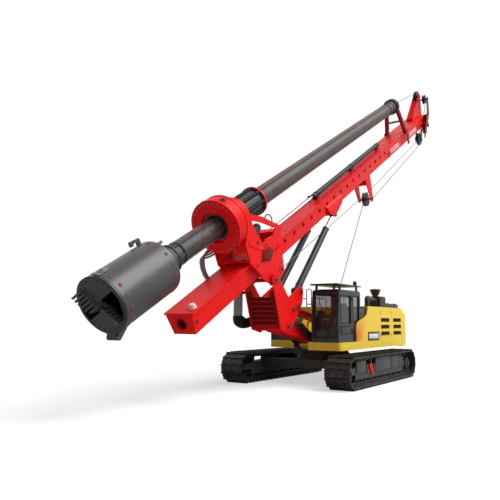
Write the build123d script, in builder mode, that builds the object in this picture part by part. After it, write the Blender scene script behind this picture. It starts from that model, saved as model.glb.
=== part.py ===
"""Rotary piling rig: crawler undercarriage, slewing upper, parallelogram boom, leaning mast,
rotary drive head and kelly bar with a drilling bucket.

Millimetres. +X points forwards, to the drilling side, +Y to the cab side, +Z up. The origin is
on the ground under the slewing axis. Everything on the mast is placed in the mast's own
directions: s runs up the mast from its foot, n runs out of its front face towards the kelly bar.
"""
from build123d import *
import os
from math import cos, degrees, hypot, pi, radians, sin

os.makedirs("parts", exist_ok=True)

# clearances
pin_gap = 0.1
seat_gap = 0.3
slide_gap = 0.5
side_gap = 5

# crawler tracks
track_height = 980
track_overall_width = 4400
shoe_width = 780
bend_shoes = 6
straight_shoes = 23
shoe_fill = 0.985
shoe_thickness = 30
grouser_height = 45
grouser_width = 34
link_height = 110
link_width = 330
idler_width = 300
axle_radius = 70
roller_count = 8
roller_radius = 95
roller_length = 300
carrier_radius = 65
carrier_spread = 1700
track_frame_width = 380
track_frame_bottom = 395
track_frame_height = 255
track_frame_taper = 620
fork_thickness = 38
sprocket_teeth = 21
sprocket_tooth_depth = 46

# centre frame and slewing ring
carbody_radius = 950
carbody_bottom = 470
carbody_height = 470
carbody_arm_width = 640
carbody_arm_place = 1050
slew_ring_radius = 780
slew_ring_bore = 610
slew_ring_height = 100
ring_flange_height = 39.7

# upper deck
deck_bottom = 1080
deck_height = 240
deck_half_width = 1560
deck_rear = -3400
deck_front_left = 2120
deck_front_right = 930
deck_plate = 30
deck_skirt = 45
bay_half_width = 430
bay_front = 700
ear_thickness = 50
ear_front = 1400
ear_rear = -720
ear_top = 2150

# pins of the boom's parallelogram, in the side view
boom_pin = (950, 1380)
boom_tip = (3360, 1800)
strut_tip = (2750, 2380)
luff_pin = (1250, 1200)
luff_tip = (3050, 2300)
mast_pin = (4050, 3120)
stay_pin = (2600, 2850)
pin_radius = 60

# boom, strut and their cylinders
boom_half_width = 240
boom_depth = 300
boom_hub_radius = 130
hub_half_width = 422
strut_half_width = 180
strut_depth = 150
strut_hub_radius = 105
luff_y = 335
luff_barrel_radius = 85
luff_rod_radius = 55
luff_barrel_length = 1350

# triangle frame
frame_plate_y = 465
frame_plate = 35
frame_lobe_radius = 200
frame_front_low = (3780, 1710)
frame_rear = (2500, 2480)
frame_valley = (3330, 2640)
frame_rib_count = 6
frame_rib_pitch = 140
frame_rib_width = 40
frame_rib_height = 26
front_plate_share = 0.66
stub_radius = 90
stub_reach = 452

# mast
mast_lean = 29.2
mast_pin_s = 3650
mast_pin_n = -900
mast_length = 21900
mast_joint_s = 15400
mast_front_width = 890
mast_web_width = 790
mast_rear_width = 655
mast_depth = 550
mast_wall = 16
mast_face_plate = 40
hole_count = 16
hole_first_s = 4880
hole_pitch = 665
hole_radius = 62
hole_n = -205
foot_hole_radius = 140
foot_plate = 40
lug_inner_y = 345
lug_outer_y = 405
lug_radius = 170
winch_lug_s = 4220
winch_lug_n = -830
aux_drum_radius = 120
aux_flange_radius = 225
stay_ear_s = 8560
stay_ear_n = -690
stay_ear_y = 340
stay_ear_radius = 125
stay_ear_plate = 30
ear_pad_top = -250
ear_pad_rise = 90
ear_pad_front = 520
ear_pad_rear = 900
stay_eye_radius = 95
stay_eye_half_width = 60

# mast cylinders
stay_barrel_radius = 105
stay_rod_radius = 58
stay_barrel_length = 3090
stay_rod_reach = 2900

# mast head
head_plate = 30
head_plate_y = 120
head_arm_foot = 1350
arm_plate_y = 560
head_sheave_radius = 330
rear_sheave_radius = 330
aux_sheave_radius = 240
head_front_pin = (mast_length + 660, 880)
head_rear_pin = (mast_length - 340, -1170)
aux_front_pin = (mast_length + 520, 700)
sheave_half_width = 55

# rope bracket behind the mast
bracket_s = 12560
bracket_n = -1500
bracket_sheave_radius = 290
bracket_plate_y = 250

# kelly bar and its guide
kelly_n = 1250
kelly_radius = 254
kelly_rib_height = 28
kelly_rib_width = 46
kelly_rib_count = 6
kelly_bottom_s = -60
kelly_top_s = 17640
kelly_collar_radius = 330
kelly_collar_length = 520
neck_radius = 150
rope_neck_radius = 90
rope_neck_top = 18700
rope_eye_s = 18570
rope_eye_radius = 40
guide_s = 17920
guide_length = 260
guide_ring_radius = 345
guide_foot_y = 470
guide_plate = 35

# drive head and carriage
head_front_s = 2300
drum_radius = 725
drum_length = 450
gear_length = 520
sleeve_bore = 296
sleeve_radius = 352
mouth_radius = 420
spring_ring_radius = 410
spring_ring_s = 4330
spring_count = 8
carriage_plate_y = 500
carriage_plate = 40
shoe_wrap = 48
crowd_s = 8050
crowd_barrel_length = 7140
crowd_radius = 90
crowd_rod_radius = 50
crowd_rod_inside = 2600
crowd_n = 155

# drilling bucket
bucket_radius = 640
bucket_wall = 28
bucket_bottom_s = -2000
bucket_top_s = -170
bucket_roof = 60
flap_thickness = 60
latch_y = -235
latch_s = -250
latch_height = 190
latch_width = 60
lever_y = -100
lever_n = 425
lever_length = 530
lever_radius = 34
hinge_lug = 30
hinge_lug_radius = 60
hinge_pin_radius = 25
lug_spread = 130
teeth_per_row = 5
teeth_start = 20
teeth_pitch = 90
teeth_angle = 52
teeth_offset = 48
mouth_corner = 211
tooth_width = 62
tooth_depth = 70
tooth_length = 210
tooth_rake = 75
pilot_radius = 95
pilot_length = 300

# upper works
hood_front = -100
hood_top = 2455
hood_sheet = 35
winch_bay_front = -800
winch_bay_half_width = 520
weight_rear = -4070
weight_round = 350
weight_bottom = 1050
louvre_length = 830
louvre_height = 130
louvre_slats = 2
louvre_columns = (-1690, -2930)
louvre_rows = (1545, 1775, 2010)
drum_pin = (-300, 1830)
drum_core_radius = 210
drum_flange_radius = 330

# air cleaner and silencer on the hood
cleaner_x = -2050
cleaner_y = 1150
cleaner_length = 540
cleaner_width = 420
cleaner_height = 390
cap_x = -1860
cap_neck = 90
cap_height = 150
cap_radius = 190
silencer_length = 1330
silencer_width = 420
silencer_height = 165

# cab
cab_rear = 400
cab_front = 2100
cab_left = 1500
cab_right = 600
cab_top = 2920
cab_wall = 60
door_rear = 1080
door_front = 2020
door_low = 1385
door_high = 2840
door_gap = 4
door_frame = 80
door_glass_low = 1890
handle_low = 1620
handle_length = 200
handle_reach = 52
glass_thickness = 12
glass_gap = 1
guard_height = 3060
guard_plate = 30
rail_x = 2180
rail_y = (480, 650)
rail_z = (2470, 2940)
rail_bend = 70
rail_radius = 13

# directions and planes
lean = radians(mast_lean)
up_mast = Vector(-cos(lean), 0, sin(lean))
off_mast = Vector(sin(lean), 0, cos(lean))
foot = Vector(mast_pin[0], 0, mast_pin[1]) - up_mast * mast_pin_s - off_mast * mast_pin_n


def side(y):
    """Side view at height y: sketch x is forwards, sketch y is up, and extruding goes towards -Y."""
    return Plane(origin=(0, y, 0), x_dir=(1, 0, 0), z_dir=(0, -1, 0))


def mast_side(y):
    """Side view in the mast's directions: sketch x is s, sketch y is n, extruding goes towards +Y."""
    return Plane(origin=foot + Vector(0, y, 0), x_dir=up_mast, z_dir=(0, 1, 0))


def mast_section(s, n=0, y=0):
    """Cross-section of the mast at s: sketch y is n, sketch x points to -Y, extruding goes up the mast."""
    origin = foot + up_mast * s + off_mast * n + Vector(0, y, 0)
    return Plane(origin=origin, x_dir=(0, -1, 0), z_dir=up_mast)


def along(start, end, y):
    """Plane across the line between two side-view points, extruding from start towards end."""
    origin = (start[0], y, start[1])
    return Plane(origin=origin, x_dir=(0, 1, 0), z_dir=(end[0] - start[0], 0, end[1] - start[1]))


def span(start, end):
    """Distance between two side-view points."""
    return hypot(end[0] - start[0], end[1] - start[1])


def mast_point(s, n):
    """Side-view point, x and z, of a place in the mast's directions."""
    place = foot + up_mast * s + off_mast * n
    return (place.X, place.Z)


# crawler tracks: one loop each, of links, shoes and grousers
track_y = track_overall_width / 2 - shoe_width / 2
axle_z = track_height / 2
shoe_line_radius = axle_z - grouser_height - shoe_thickness
link_inner_radius = shoe_line_radius - link_height
shoe_pitch = pi * shoe_line_radius / bend_shoes
end_x = straight_shoes * shoe_pitch / 2
shoe_count = 2 * (bend_shoes + straight_shoes)


def loop_place(run):
    """Place at a distance along the shoe line, in the side view, turned so that +Y is outwards."""
    straight = 2 * end_x
    bend = pi * shoe_line_radius
    if run < straight:
        return Pos(-end_x + run, axle_z + shoe_line_radius)
    if run < straight + bend:
        angle = pi / 2 - (run - straight) / shoe_line_radius
        centre = end_x
    elif run < 2 * straight + bend:
        return Pos(end_x - (run - straight - bend), axle_z - shoe_line_radius) * Rot(Z=180)
    else:
        angle = -pi / 2 - (run - 2 * straight - bend) / shoe_line_radius
        centre = -end_x
    x = centre + shoe_line_radius * cos(angle)
    z = axle_z + shoe_line_radius * sin(angle)
    return Pos(x, z) * Rot(Z=degrees(angle) - 90)


shoe_places = [loop_place(index * shoe_pitch) for index in range(shoe_count)]
shoe_half = shoe_pitch * shoe_fill / 2
grouser_rear = -shoe_half + grouser_width

with BuildSketch() as shoe_profile:
    with BuildLine():
        Polyline(
            (-shoe_half, 0), (shoe_half, 0), (shoe_half, shoe_thickness),
            (grouser_rear, shoe_thickness), (grouser_rear, shoe_thickness + grouser_height),
            (-shoe_half, shoe_thickness + grouser_height), close=True)
    make_face()

for name, centre_y in (("track_left", track_y), ("track_right", -track_y)):
    with BuildPart() as track:
        with BuildSketch(side(centre_y + link_width / 2)):
            with Locations((0, axle_z)):
                SlotCenterToCenter(2 * end_x, 2 * (shoe_line_radius + 3))
                SlotCenterToCenter(2 * end_x, 2 * link_inner_radius, mode=Mode.SUBTRACT)
        extrude(amount=link_width)
        with BuildSketch(side(centre_y + shoe_width / 2)):
            with Locations(*shoe_places):
                add(shoe_profile.sketch)
        extrude(amount=shoe_width)
    track.part.label = name
    export_step(track.part, "parts/" + name + ".step")

# idlers in front and toothed drive sprockets at the rear, on their axles
wheel_radius = link_inner_radius - seat_gap
for name, axle_x in (("front_idlers", end_x), ("drive_sprockets", -end_x)):
    with BuildPart() as wheels:
        for centre_y in (track_y, -track_y):
            hub_plane = side(centre_y + idler_width / 2)
            with BuildSketch(hub_plane):
                with Locations((axle_x, axle_z)):
                    Circle(wheel_radius)
                    if axle_x < 0:
                        with PolarLocations(wheel_radius, sprocket_teeth):
                            Circle(sprocket_tooth_depth / 2, mode=Mode.SUBTRACT)
            extrude(amount=idler_width)
            for face_y in (centre_y + idler_width / 2, centre_y - idler_width / 2 + 70):
                with BuildSketch(side(face_y)):
                    with Locations((axle_x, axle_z)):
                        Circle(wheel_radius - 60)
                        Circle(axle_radius + 50, mode=Mode.SUBTRACT)
                extrude(amount=70, mode=Mode.SUBTRACT)
    wheels.part.label = name
    export_step(wheels.part, "parts/" + name + ".step")

# bottom rollers and carrier rollers, standing on and carrying the links
roller_span = 2 * end_x - 2 * wheel_radius - 400
roller_z = axle_z - link_inner_radius + roller_radius + seat_gap
carrier_z = axle_z + link_inner_radius - carrier_radius - seat_gap
with BuildPart() as rollers:
    for centre_y in (track_y, -track_y):
        with BuildSketch(side(centre_y + roller_length / 2)):
            with Locations((0, roller_z)):
                with GridLocations(roller_span / (roller_count - 1), 1, roller_count, 1):
                    Circle(roller_radius)
            with Locations((0, carrier_z)):
                with GridLocations(carrier_spread, 1, 2, 1):
                    Circle(carrier_radius)
        extrude(amount=roller_length)
rollers.part.label = "track_rollers"
export_step(rollers.part, "parts/track_rollers.step")

# track frames: box beams with saddles for the rollers and forks for the end wheels
saddle_y = roller_length / 2 + seat_gap
with BuildPart() as track_frames:
    for centre_y in (track_y, -track_y):
        with BuildSketch(side(centre_y + track_frame_width / 2)):
            with BuildLine():
                Polyline(
                    (-end_x + track_frame_taper, track_frame_bottom),
                    (end_x - track_frame_taper, track_frame_bottom),
                    (end_x - wheel_radius - 60, track_frame_bottom + 40),
                    (end_x - wheel_radius - 60, track_frame_bottom + track_frame_height - 40),
                    (end_x - track_frame_taper, track_frame_bottom + track_frame_height),
                    (-end_x + track_frame_taper, track_frame_bottom + track_frame_height),
                    (-end_x + wheel_radius + 60, track_frame_bottom + track_frame_height - 40),
                    (-end_x + wheel_radius + 60, track_frame_bottom + 40), close=True)
            make_face()
        extrude(amount=track_frame_width)
        for plate_y in (centre_y + saddle_y + fork_thickness, centre_y - saddle_y):
            with BuildSketch(side(plate_y)):
                with Locations((0, (roller_z + track_frame_bottom) / 2)):
                    Rectangle(roller_span + 160, track_frame_bottom - roller_z + 60)
                with Locations((0, carrier_z - 30)):
                    with GridLocations(carrier_spread, 1, 2, 1):
                        Rectangle(120, carrier_radius * 2)
                with Locations((0, axle_z + 10)):
                    SlotCenterToCenter(2 * end_x, 190)
            extrude(amount=fork_thickness)
track_frames.part.label = "track_frames"
export_step(track_frames.part, "parts/track_frames.step")

# centre frame: a drum under the slewing ring, with arms to the track frames
arm_length = track_y - track_frame_width / 2
with BuildPart() as centre_frame:
    with BuildSketch(Plane.XY.offset(carbody_bottom)):
        Circle(carbody_radius)
        with Locations((carbody_arm_place, 0), (-carbody_arm_place, 0)):
            Rectangle(carbody_arm_width, 2 * arm_length)
        Rectangle(2 * carbody_arm_place, 2 * carbody_radius * 0.8)
    extrude(amount=carbody_height * 0.55)
    with BuildSketch(Plane.XY.offset(carbody_bottom + carbody_height * 0.55)):
        Circle(carbody_radius)
        Rectangle(2 * carbody_arm_place, carbody_radius)
    with BuildSketch(Plane.XY.offset(carbody_bottom + carbody_height)):
        Circle(slew_ring_radius + 40)
    loft()
    with BuildSketch(Plane.XY.offset(carbody_bottom)):
        Circle(slew_ring_bore - 60)
    extrude(amount=carbody_height, mode=Mode.SUBTRACT)
centre_frame.part.label = "centre_frame"
export_step(centre_frame.part, "parts/centre_frame.step")

ring_bottom = carbody_bottom + carbody_height
with BuildPart() as slew_ring:
    with BuildSketch(Plane.XY.offset(ring_bottom)):
        Circle(slew_ring_radius)
        Circle(slew_ring_bore, mode=Mode.SUBTRACT)
    extrude(amount=slew_ring_height)
slew_ring.part.label = "slew_ring"
export_step(slew_ring.part, "parts/slew_ring.step")

# deck: a skirted plate on two long beams, whose ears carry the boom, the strut and the winch
deck_top = deck_bottom + deck_height
strut_pin = (strut_tip[0] - boom_tip[0] + boom_pin[0], strut_tip[1] - boom_tip[1] + boom_pin[1])
beam_outer = bay_half_width + ear_thickness
ear_outline = (
    (deck_rear + deck_skirt, deck_bottom), (ear_front, deck_bottom), (ear_front, boom_pin[1] - 60),
    (boom_pin[0] + 190, boom_pin[1] + 170), (strut_pin[0] + 190, strut_pin[1] + 120),
    (strut_pin[0] + 40, ear_top), (ear_rear + 200, ear_top), (ear_rear, drum_pin[1] - 100),
    (ear_rear, deck_top), (deck_rear + deck_skirt, deck_top))
with BuildPart() as deck:
    with BuildSketch(Plane.XY.offset(deck_bottom)) as deck_outline:
        with BuildLine():
            Polyline(
                (deck_rear, -deck_half_width), (deck_front_right, -deck_half_width),
                (deck_front_right, -beam_outer), (bay_front, -beam_outer), (bay_front, beam_outer),
                (deck_front_left, beam_outer), (deck_front_left, deck_half_width),
                (deck_rear, deck_half_width), close=True)
        make_face()
        fillet(deck_outline.vertices().group_by(Axis.X)[-1].sort_by(Axis.Y)[-1], 120)
    extrude(amount=deck_height)
    with BuildSketch(Plane.XY.offset(deck_bottom)):
        add(deck_outline.sketch)
        offset(amount=-deck_skirt)
    extrude(amount=deck_height - deck_plate, mode=Mode.SUBTRACT)
    for face_y in (beam_outer, -bay_half_width):
        with BuildSketch(side(face_y)):
            with BuildLine():
                Polyline(*ear_outline, close=True)
            make_face()
        extrude(amount=ear_thickness)
    with BuildSketch(Plane.XY.offset(ring_bottom + slew_ring_height + seat_gap)):
        Circle(slew_ring_radius)
        Circle(slew_ring_bore - 80, mode=Mode.SUBTRACT)
    extrude(amount=ring_flange_height + deck_plate)
    with BuildSketch(side(beam_outer)):
        with Locations(boom_pin, strut_pin, luff_pin):
            Circle(pin_radius)
    extrude(amount=2 * beam_outer)
    with BuildSketch(side(beam_outer)):
        with Locations(drum_pin):
            Circle(pin_radius + pin_gap)
    extrude(amount=2 * beam_outer, mode=Mode.SUBTRACT)
deck.part.label = "deck"
export_step(deck.part, "parts/deck.step")

# counterweight, one casting with rounded rear corners
with BuildPart() as counterweight:
    with BuildSketch(side(deck_half_width)) as weight_side:
        with BuildLine():
            Polyline(
                (deck_rear - seat_gap, weight_bottom), (weight_rear + 160, weight_bottom),
                (weight_rear, weight_bottom + 170), (weight_rear, hood_top),
                (deck_rear - seat_gap, hood_top), close=True)
        make_face()
        fillet(weight_side.vertices().group_by(Axis.Y)[-1].sort_by(Axis.X)[0], weight_round)
    extrude(amount=2 * deck_half_width)
    upright = counterweight.edges().filter_by(Axis.Z).group_by(Axis.X)[0]
    fillet(upright, weight_round * 0.7)
counterweight.part.label = "counterweight"
export_step(counterweight.part, "parts/counterweight.step")

# hood: a sheet housing round the winch bay, with louvres and a fairing behind the cab
with BuildPart() as hood:
    with BuildSketch(Plane.XY.offset(deck_top)) as hood_outline:
        with BuildLine():
            Polyline(
                (deck_rear, -deck_half_width), (hood_front, -deck_half_width),
                (hood_front, -winch_bay_half_width), (winch_bay_front, -winch_bay_half_width),
                (winch_bay_front, winch_bay_half_width), (hood_front, winch_bay_half_width),
                (hood_front, deck_half_width), (deck_rear, deck_half_width), close=True)
        make_face()
    extrude(amount=hood_top - deck_top)
    with BuildSketch(Plane.XY.offset(deck_top)):
        add(hood_outline.sketch)
        offset(amount=-hood_sheet)
    extrude(amount=hood_top - deck_top - hood_sheet, mode=Mode.SUBTRACT)
    for face_y in (deck_half_width, -deck_half_width + hood_sheet):
        with BuildSketch(side(face_y)):
            for column in louvre_columns:
                for row in louvre_rows:
                    with Locations((column, row)):
                        Rectangle(louvre_length, louvre_height)
                        with GridLocations(1, louvre_height / (louvre_slats + 1), 1, louvre_slats):
                            Rectangle(louvre_length + 2, 16, mode=Mode.SUBTRACT)
        extrude(amount=hood_sheet, mode=Mode.SUBTRACT)
    with BuildSketch(side(deck_half_width)):
        with BuildLine():
            Line((hood_front, deck_top), (900, deck_top))
            Line((900, deck_top), (900, 1640))
            Spline((900, 1640), (500, 2010), (-60, 2290), tangents=((0, 1), (-0.35, 1)))
            Line((-60, 2290), (hood_front, hood_top))
            Line((hood_front, hood_top), (hood_front, deck_top))
        make_face()
    extrude(amount=hood_sheet)
hood.part.label = "hood"
export_step(hood.part, "parts/hood.step")

with BuildPart() as engine_block:
    with BuildSketch(Plane.XY.offset(deck_top)):
        with Locations((-2150, 0)):
            Rectangle(1500, 900)
    extrude(amount=760)
engine_block.part.label = "engine_block"
export_step(engine_block.part, "parts/engine_block.step")

# cabinets beside the cab and on the right platform
with BuildPart() as side_cabinet:
    with BuildSketch(side(deck_half_width - hood_sheet - 20)):
        with BuildLine():
            Polyline(
                (hood_front + seat_gap, deck_top), (cab_rear - seat_gap, deck_top),
                (cab_rear - seat_gap, 2270), (hood_front + seat_gap, 2400), close=True)
        make_face()
    extrude(amount=deck_half_width - hood_sheet - 20 - cab_right - 20)
side_cabinet.part.label = "side_cabinet"
export_step(side_cabinet.part, "parts/side_cabinet.step")

with BuildPart() as tank:
    with BuildSketch(side(-beam_outer - 40)) as tank_side:
        with BuildLine():
            Polyline(
                (hood_front + seat_gap, deck_top), (deck_front_right, deck_top),
                (deck_front_right, 1850), (deck_front_right - 160, 2050),
                (hood_front + seat_gap, 2050), close=True)
        make_face()
    extrude(amount=deck_half_width - beam_outer - 40)
tank.part.label = "tank"
export_step(tank.part, "parts/tank.step")

# main winch drum on the ears behind the strut
with BuildPart() as main_winch:
    drum_half = bay_half_width - side_gap
    with BuildSketch(side(beam_outer)):
        with Locations(drum_pin):
            Circle(pin_radius)
    extrude(amount=2 * beam_outer)
    with BuildSketch(side(drum_half)):
        with Locations(drum_pin):
            Circle(drum_core_radius)
    extrude(amount=2 * drum_half)
    for flange_y in (drum_half, -drum_half + 30):
        with BuildSketch(side(flange_y)):
            with Locations(drum_pin):
                Circle(drum_flange_radius)
        extrude(amount=30)
main_winch.part.label = "main_winch"
export_step(main_winch.part, "parts/main_winch.step")

# cab shell, with its doorway and window openings cut through the walls
cab_profile = (
    (cab_rear, deck_top), (cab_front, deck_top), (cab_front, 2050),
    (cab_front - 90, cab_top), (cab_rear, cab_top))
windscreen_top = (2140, 2780)
windscreen_low = (1470, 2080)
side_glass = (700, 1900, 1900, 2760)
rear_glass = (1950, 2740)
quarter_glass = (500, 1000, 1900, 2760)
with BuildPart() as cab_shell:
    with BuildSketch(side(cab_left)) as cab_side:
        with BuildLine():
            Polyline(*cab_profile, close=True)
        make_face()
        fillet(cab_side.vertices().group_by(Axis.Y)[-1], 110)
    extrude(amount=cab_left - cab_right)
    with BuildSketch(side(cab_left - cab_wall)):
        add(cab_side.sketch)
        offset(amount=-cab_wall)
    extrude(amount=cab_left - cab_right - 2 * cab_wall, mode=Mode.SUBTRACT)
    with BuildSketch(side(cab_left)):
        with Locations(((door_rear + door_front) / 2, (door_low + door_high) / 2)):
            RectangleRounded(door_front - door_rear, door_high - door_low, 60)
        with Locations(((quarter_glass[0] + quarter_glass[1]) / 2, (quarter_glass[2] + quarter_glass[3]) / 2)):
            Rectangle(quarter_glass[1] - quarter_glass[0], quarter_glass[3] - quarter_glass[2])
    extrude(amount=cab_wall, mode=Mode.SUBTRACT)
    with BuildSketch(side(cab_right + cab_wall)):
        with Locations(((side_glass[0] + side_glass[1]) / 2, (side_glass[2] + side_glass[3]) / 2)):
            Rectangle(side_glass[1] - side_glass[0], side_glass[3] - side_glass[2])
    extrude(amount=cab_wall, mode=Mode.SUBTRACT)
    with BuildSketch(Plane.YZ.offset(cab_front - 180)):
        for low, high in (windscreen_low, windscreen_top):
            with Locations(((cab_left + cab_right) / 2, (low + high) / 2)):
                Rectangle(cab_left - cab_right - 2 * cab_wall - 40, high - low)
    extrude(amount=260, mode=Mode.SUBTRACT)
    with BuildSketch(Plane.YZ.offset(cab_rear)):
        with Locations(((cab_left + cab_right) / 2, (rear_glass[0] + rear_glass[1]) / 2)):
            Rectangle(cab_left - cab_right - 2 * cab_wall - 60, rear_glass[1] - rear_glass[0])
    extrude(amount=cab_wall, mode=Mode.SUBTRACT)
cab_shell.part.label = "cab_shell"
export_step(cab_shell.part, "parts/cab_shell.step")

# fixed panes of the cab
pane_half_width = (cab_left - cab_right) / 2 - cab_wall - 20 - glass_gap
cab_centre_y = (cab_left + cab_right) / 2
with BuildPart() as cab_glass:
    with BuildSketch(side(cab_right + cab_wall / 2)):
        with Locations(((side_glass[0] + side_glass[1]) / 2, (side_glass[2] + side_glass[3]) / 2)):
            Rectangle(side_glass[1] - side_glass[0] - seat_gap, side_glass[3] - side_glass[2] - seat_gap)
    extrude(amount=glass_thickness)
    with BuildSketch(side(cab_left - cab_wall / 2)):
        with Locations(((quarter_glass[0] + quarter_glass[1]) / 2, (quarter_glass[2] + quarter_glass[3]) / 2)):
            Rectangle(
                quarter_glass[1] - quarter_glass[0] - seat_gap,
                quarter_glass[3] - quarter_glass[2] - seat_gap)
    extrude(amount=glass_thickness)
    with BuildSketch(Plane.YZ.offset(cab_rear + cab_wall / 2)):
        with Locations((cab_centre_y, (rear_glass[0] + rear_glass[1]) / 2)):
            Rectangle(
                cab_left - cab_right - 2 * cab_wall - 60 - seat_gap,
                rear_glass[1] - rear_glass[0] - seat_gap)
    extrude(amount=glass_thickness)
    with BuildSketch(side(cab_centre_y + pane_half_width)):
        with BuildLine():
            Polyline(
                (cab_front - 30, windscreen_low[0] + glass_gap), (cab_front - 30, 2050),
                (cab_front - 33, windscreen_low[1] - glass_gap),
                (cab_front - 45, windscreen_low[1] - glass_gap),
                (cab_front - 42, 2050), (cab_front - 42, windscreen_low[0] + glass_gap), close=True)
        make_face()
        with BuildLine():
            Polyline(
                (cab_front - 40, windscreen_top[0] + glass_gap),
                (cab_front - 106, windscreen_top[1] - glass_gap),
                (cab_front - 118, windscreen_top[1] - glass_gap),
                (cab_front - 52, windscreen_top[0] + glass_gap), close=True)
        make_face()
    extrude(amount=2 * pane_half_width)
cab_glass.part.label = "cab_glass"
export_step(cab_glass.part, "parts/cab_glass.step")

# cab door, hung on its rear edge, with its pane
with BuildPart() as cab_door:
    with BuildSketch(side(cab_left)):
        with Locations(((door_rear + door_front) / 2, (door_low + door_high) / 2)):
            RectangleRounded(door_front - door_rear - 2 * door_gap, door_high - door_low - 2 * door_gap, 60)
        with Locations(((door_rear + door_front) / 2, (door_glass_low + door_high - door_frame) / 2)):
            Rectangle(door_front - door_rear - 2 * door_frame, door_high - door_frame - door_glass_low, mode=Mode.SUBTRACT)
    extrude(amount=cab_wall)
    for hinge_z in (1600, 2600):
        with BuildSketch(Plane.XY.offset(hinge_z)):
            with Locations((door_rear + 12, cab_left + 14)):
                Circle(15)
            with Locations((door_rear + 22, cab_left + 6)):
                Rectangle(30, 16)
        extrude(amount=120)
    with BuildSketch(Plane.XY.offset(handle_low)):
        with Locations((door_front - 110, cab_left + handle_reach / 2)):
            Rectangle(26, handle_reach)
    extrude(amount=handle_length)
    with BuildSketch(Plane.XY.offset(handle_low + 30)):
        with Locations((door_front - 110, cab_left + handle_reach / 2 - 12)):
            Rectangle(26, handle_reach - 24)
    extrude(amount=handle_length - 60, mode=Mode.SUBTRACT)
cab_door.part.label = "cab_door"
export_step(cab_door.part, "parts/cab_door.step")

with BuildPart() as door_glass:
    with BuildSketch(side(cab_left - cab_wall / 2)):
        with Locations(((door_rear + door_front) / 2, (door_glass_low + door_high - door_frame) / 2)):
            Rectangle(
                door_front - door_rear - 2 * door_frame - seat_gap,
                door_high - door_frame - door_glass_low - seat_gap)
    extrude(amount=glass_thickness)
door_glass.part.label = "door_glass"
export_step(door_glass.part, "parts/door_glass.step")

# operator's seat and console inside the cab
floor_z = deck_top + cab_wall
with BuildPart() as seat:
    with BuildSketch(Plane.XY.offset(floor_z)):
        with Locations((1020, cab_centre_y)):
            Rectangle(380, 380)
    extrude(amount=330)
    with BuildSketch(side(cab_centre_y + 260)) as seat_side:
        with BuildLine():
            Polyline(
                (780, floor_z + 330), (1340, floor_z + 330), (1360, floor_z + 470),
                (960, floor_z + 450), (860, floor_z + 1120), (730, floor_z + 1120), close=True)
        make_face()
        fillet(seat_side.vertices().group_by(Axis.Y)[-1], 50)
    extrude(amount=520)
seat.part.label = "operator_seat"
export_step(seat.part, "parts/operator_seat.step")

with BuildPart() as console:
    for console_y in (cab_centre_y + 370, cab_centre_y - 290):
        with BuildSketch(side(console_y)):
            with BuildLine():
                Polyline(
                    (980, floor_z), (1300, floor_z), (1480, floor_z + 560),
                    (1440, floor_z + 620), (980, floor_z + 560), close=True)
            make_face()
        extrude(amount=80)
    with BuildSketch(side(cab_right + cab_wall + 180)):
        with BuildLine():
            Polyline(
                (1780, floor_z), (1900, floor_z), (1920, floor_z + 780),
                (1830, floor_z + 860), (1780, floor_z + 760), close=True)
        make_face()
    extrude(amount=160)
console.part.label = "cab_console"
export_step(console.part, "parts/cab_console.step")

# guard over the cab roof, on four posts, with a beacon
with BuildPart() as cab_guard:
    with BuildSketch(Plane.XY.offset(guard_height)):
        with Locations(((cab_rear + cab_front) / 2, cab_centre_y)):
            Rectangle(cab_front - cab_rear + 60, cab_left - cab_right + 60)
    extrude(amount=guard_plate)
    with BuildSketch(Plane.XY.offset(cab_top)):
        with Locations(((cab_rear + cab_front) / 2 - 40, cab_centre_y)):
            with GridLocations(cab_front - cab_rear - 420, cab_left - cab_right - 120, 2, 2):
                Rectangle(70, 50)
    extrude(amount=guard_height - cab_top)
    with BuildSketch(Plane.XY.offset(guard_height + guard_plate)):
        with Locations((530, cab_left - 120)):
            Circle(60)
    extrude(amount=110)
cab_guard.part.label = "cab_guard"
export_step(cab_guard.part, "parts/cab_guard.step")

# grab rail on the cab's front corner: an upright loop on two stand-offs
with BuildPart() as cab_rail:
    with BuildLine() as rail_line:
        FilletPolyline(
            (rail_x, rail_y[0], rail_z[0]), (rail_x, rail_y[1], rail_z[0]), (rail_x, rail_y[1], rail_z[1]),
            (rail_x, rail_y[0], rail_z[1]), radius=rail_bend, close=True)
    with BuildSketch(Plane(origin=rail_line.line @ 0, z_dir=rail_line.line % 0)):
        Circle(rail_radius)
    sweep()
    for stand_z in (rail_z[0] + rail_bend + 20, rail_z[1] - rail_bend - 20):
        front_slope = 90 / (cab_top - 2050)
        front_x = cab_front - (stand_z - 2050 - rail_radius) * front_slope + seat_gap
        with BuildSketch(Plane.YZ.offset(front_x)):
            with Locations((rail_y[1], stand_z)):
                Circle(rail_radius - 3)
        extrude(amount=rail_x - front_x)
cab_rail.part.label = "cab_rail"
export_step(cab_rail.part, "parts/cab_rail.step")

# air cleaner with its rain cap, and the flat silencer, on the hood
cleaner_plane = Plane.XY.offset(hood_top)
with BuildPart() as air_cleaner:
    with BuildSketch(side(cleaner_y + cleaner_width / 2)) as cleaner_side:
        with Locations((cleaner_x, hood_top + cleaner_height / 2)):
            Rectangle(cleaner_length, cleaner_height)
        fillet(cleaner_side.vertices().group_by(Axis.Y)[-1], 110)
    extrude(amount=cleaner_width)
    cap_bottom = cleaner_height + cap_neck
    with BuildSketch(cleaner_plane.offset(cleaner_height - 20)):
        with Locations((cap_x, cleaner_y)):
            Circle(cap_radius * 0.55)
    extrude(amount=cap_neck + 20)
    with BuildSketch(cleaner_plane.offset(cap_bottom - 20)):
        with Locations((cap_x, cleaner_y)):
            Circle(cap_radius * 0.7)
    with BuildSketch(cleaner_plane.offset(cap_bottom + cap_height)):
        with Locations((cap_x, cleaner_y)):
            Circle(cap_radius)
    loft()
air_cleaner.part.label = "air_cleaner"
export_step(air_cleaner.part, "parts/air_cleaner.step")

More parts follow.
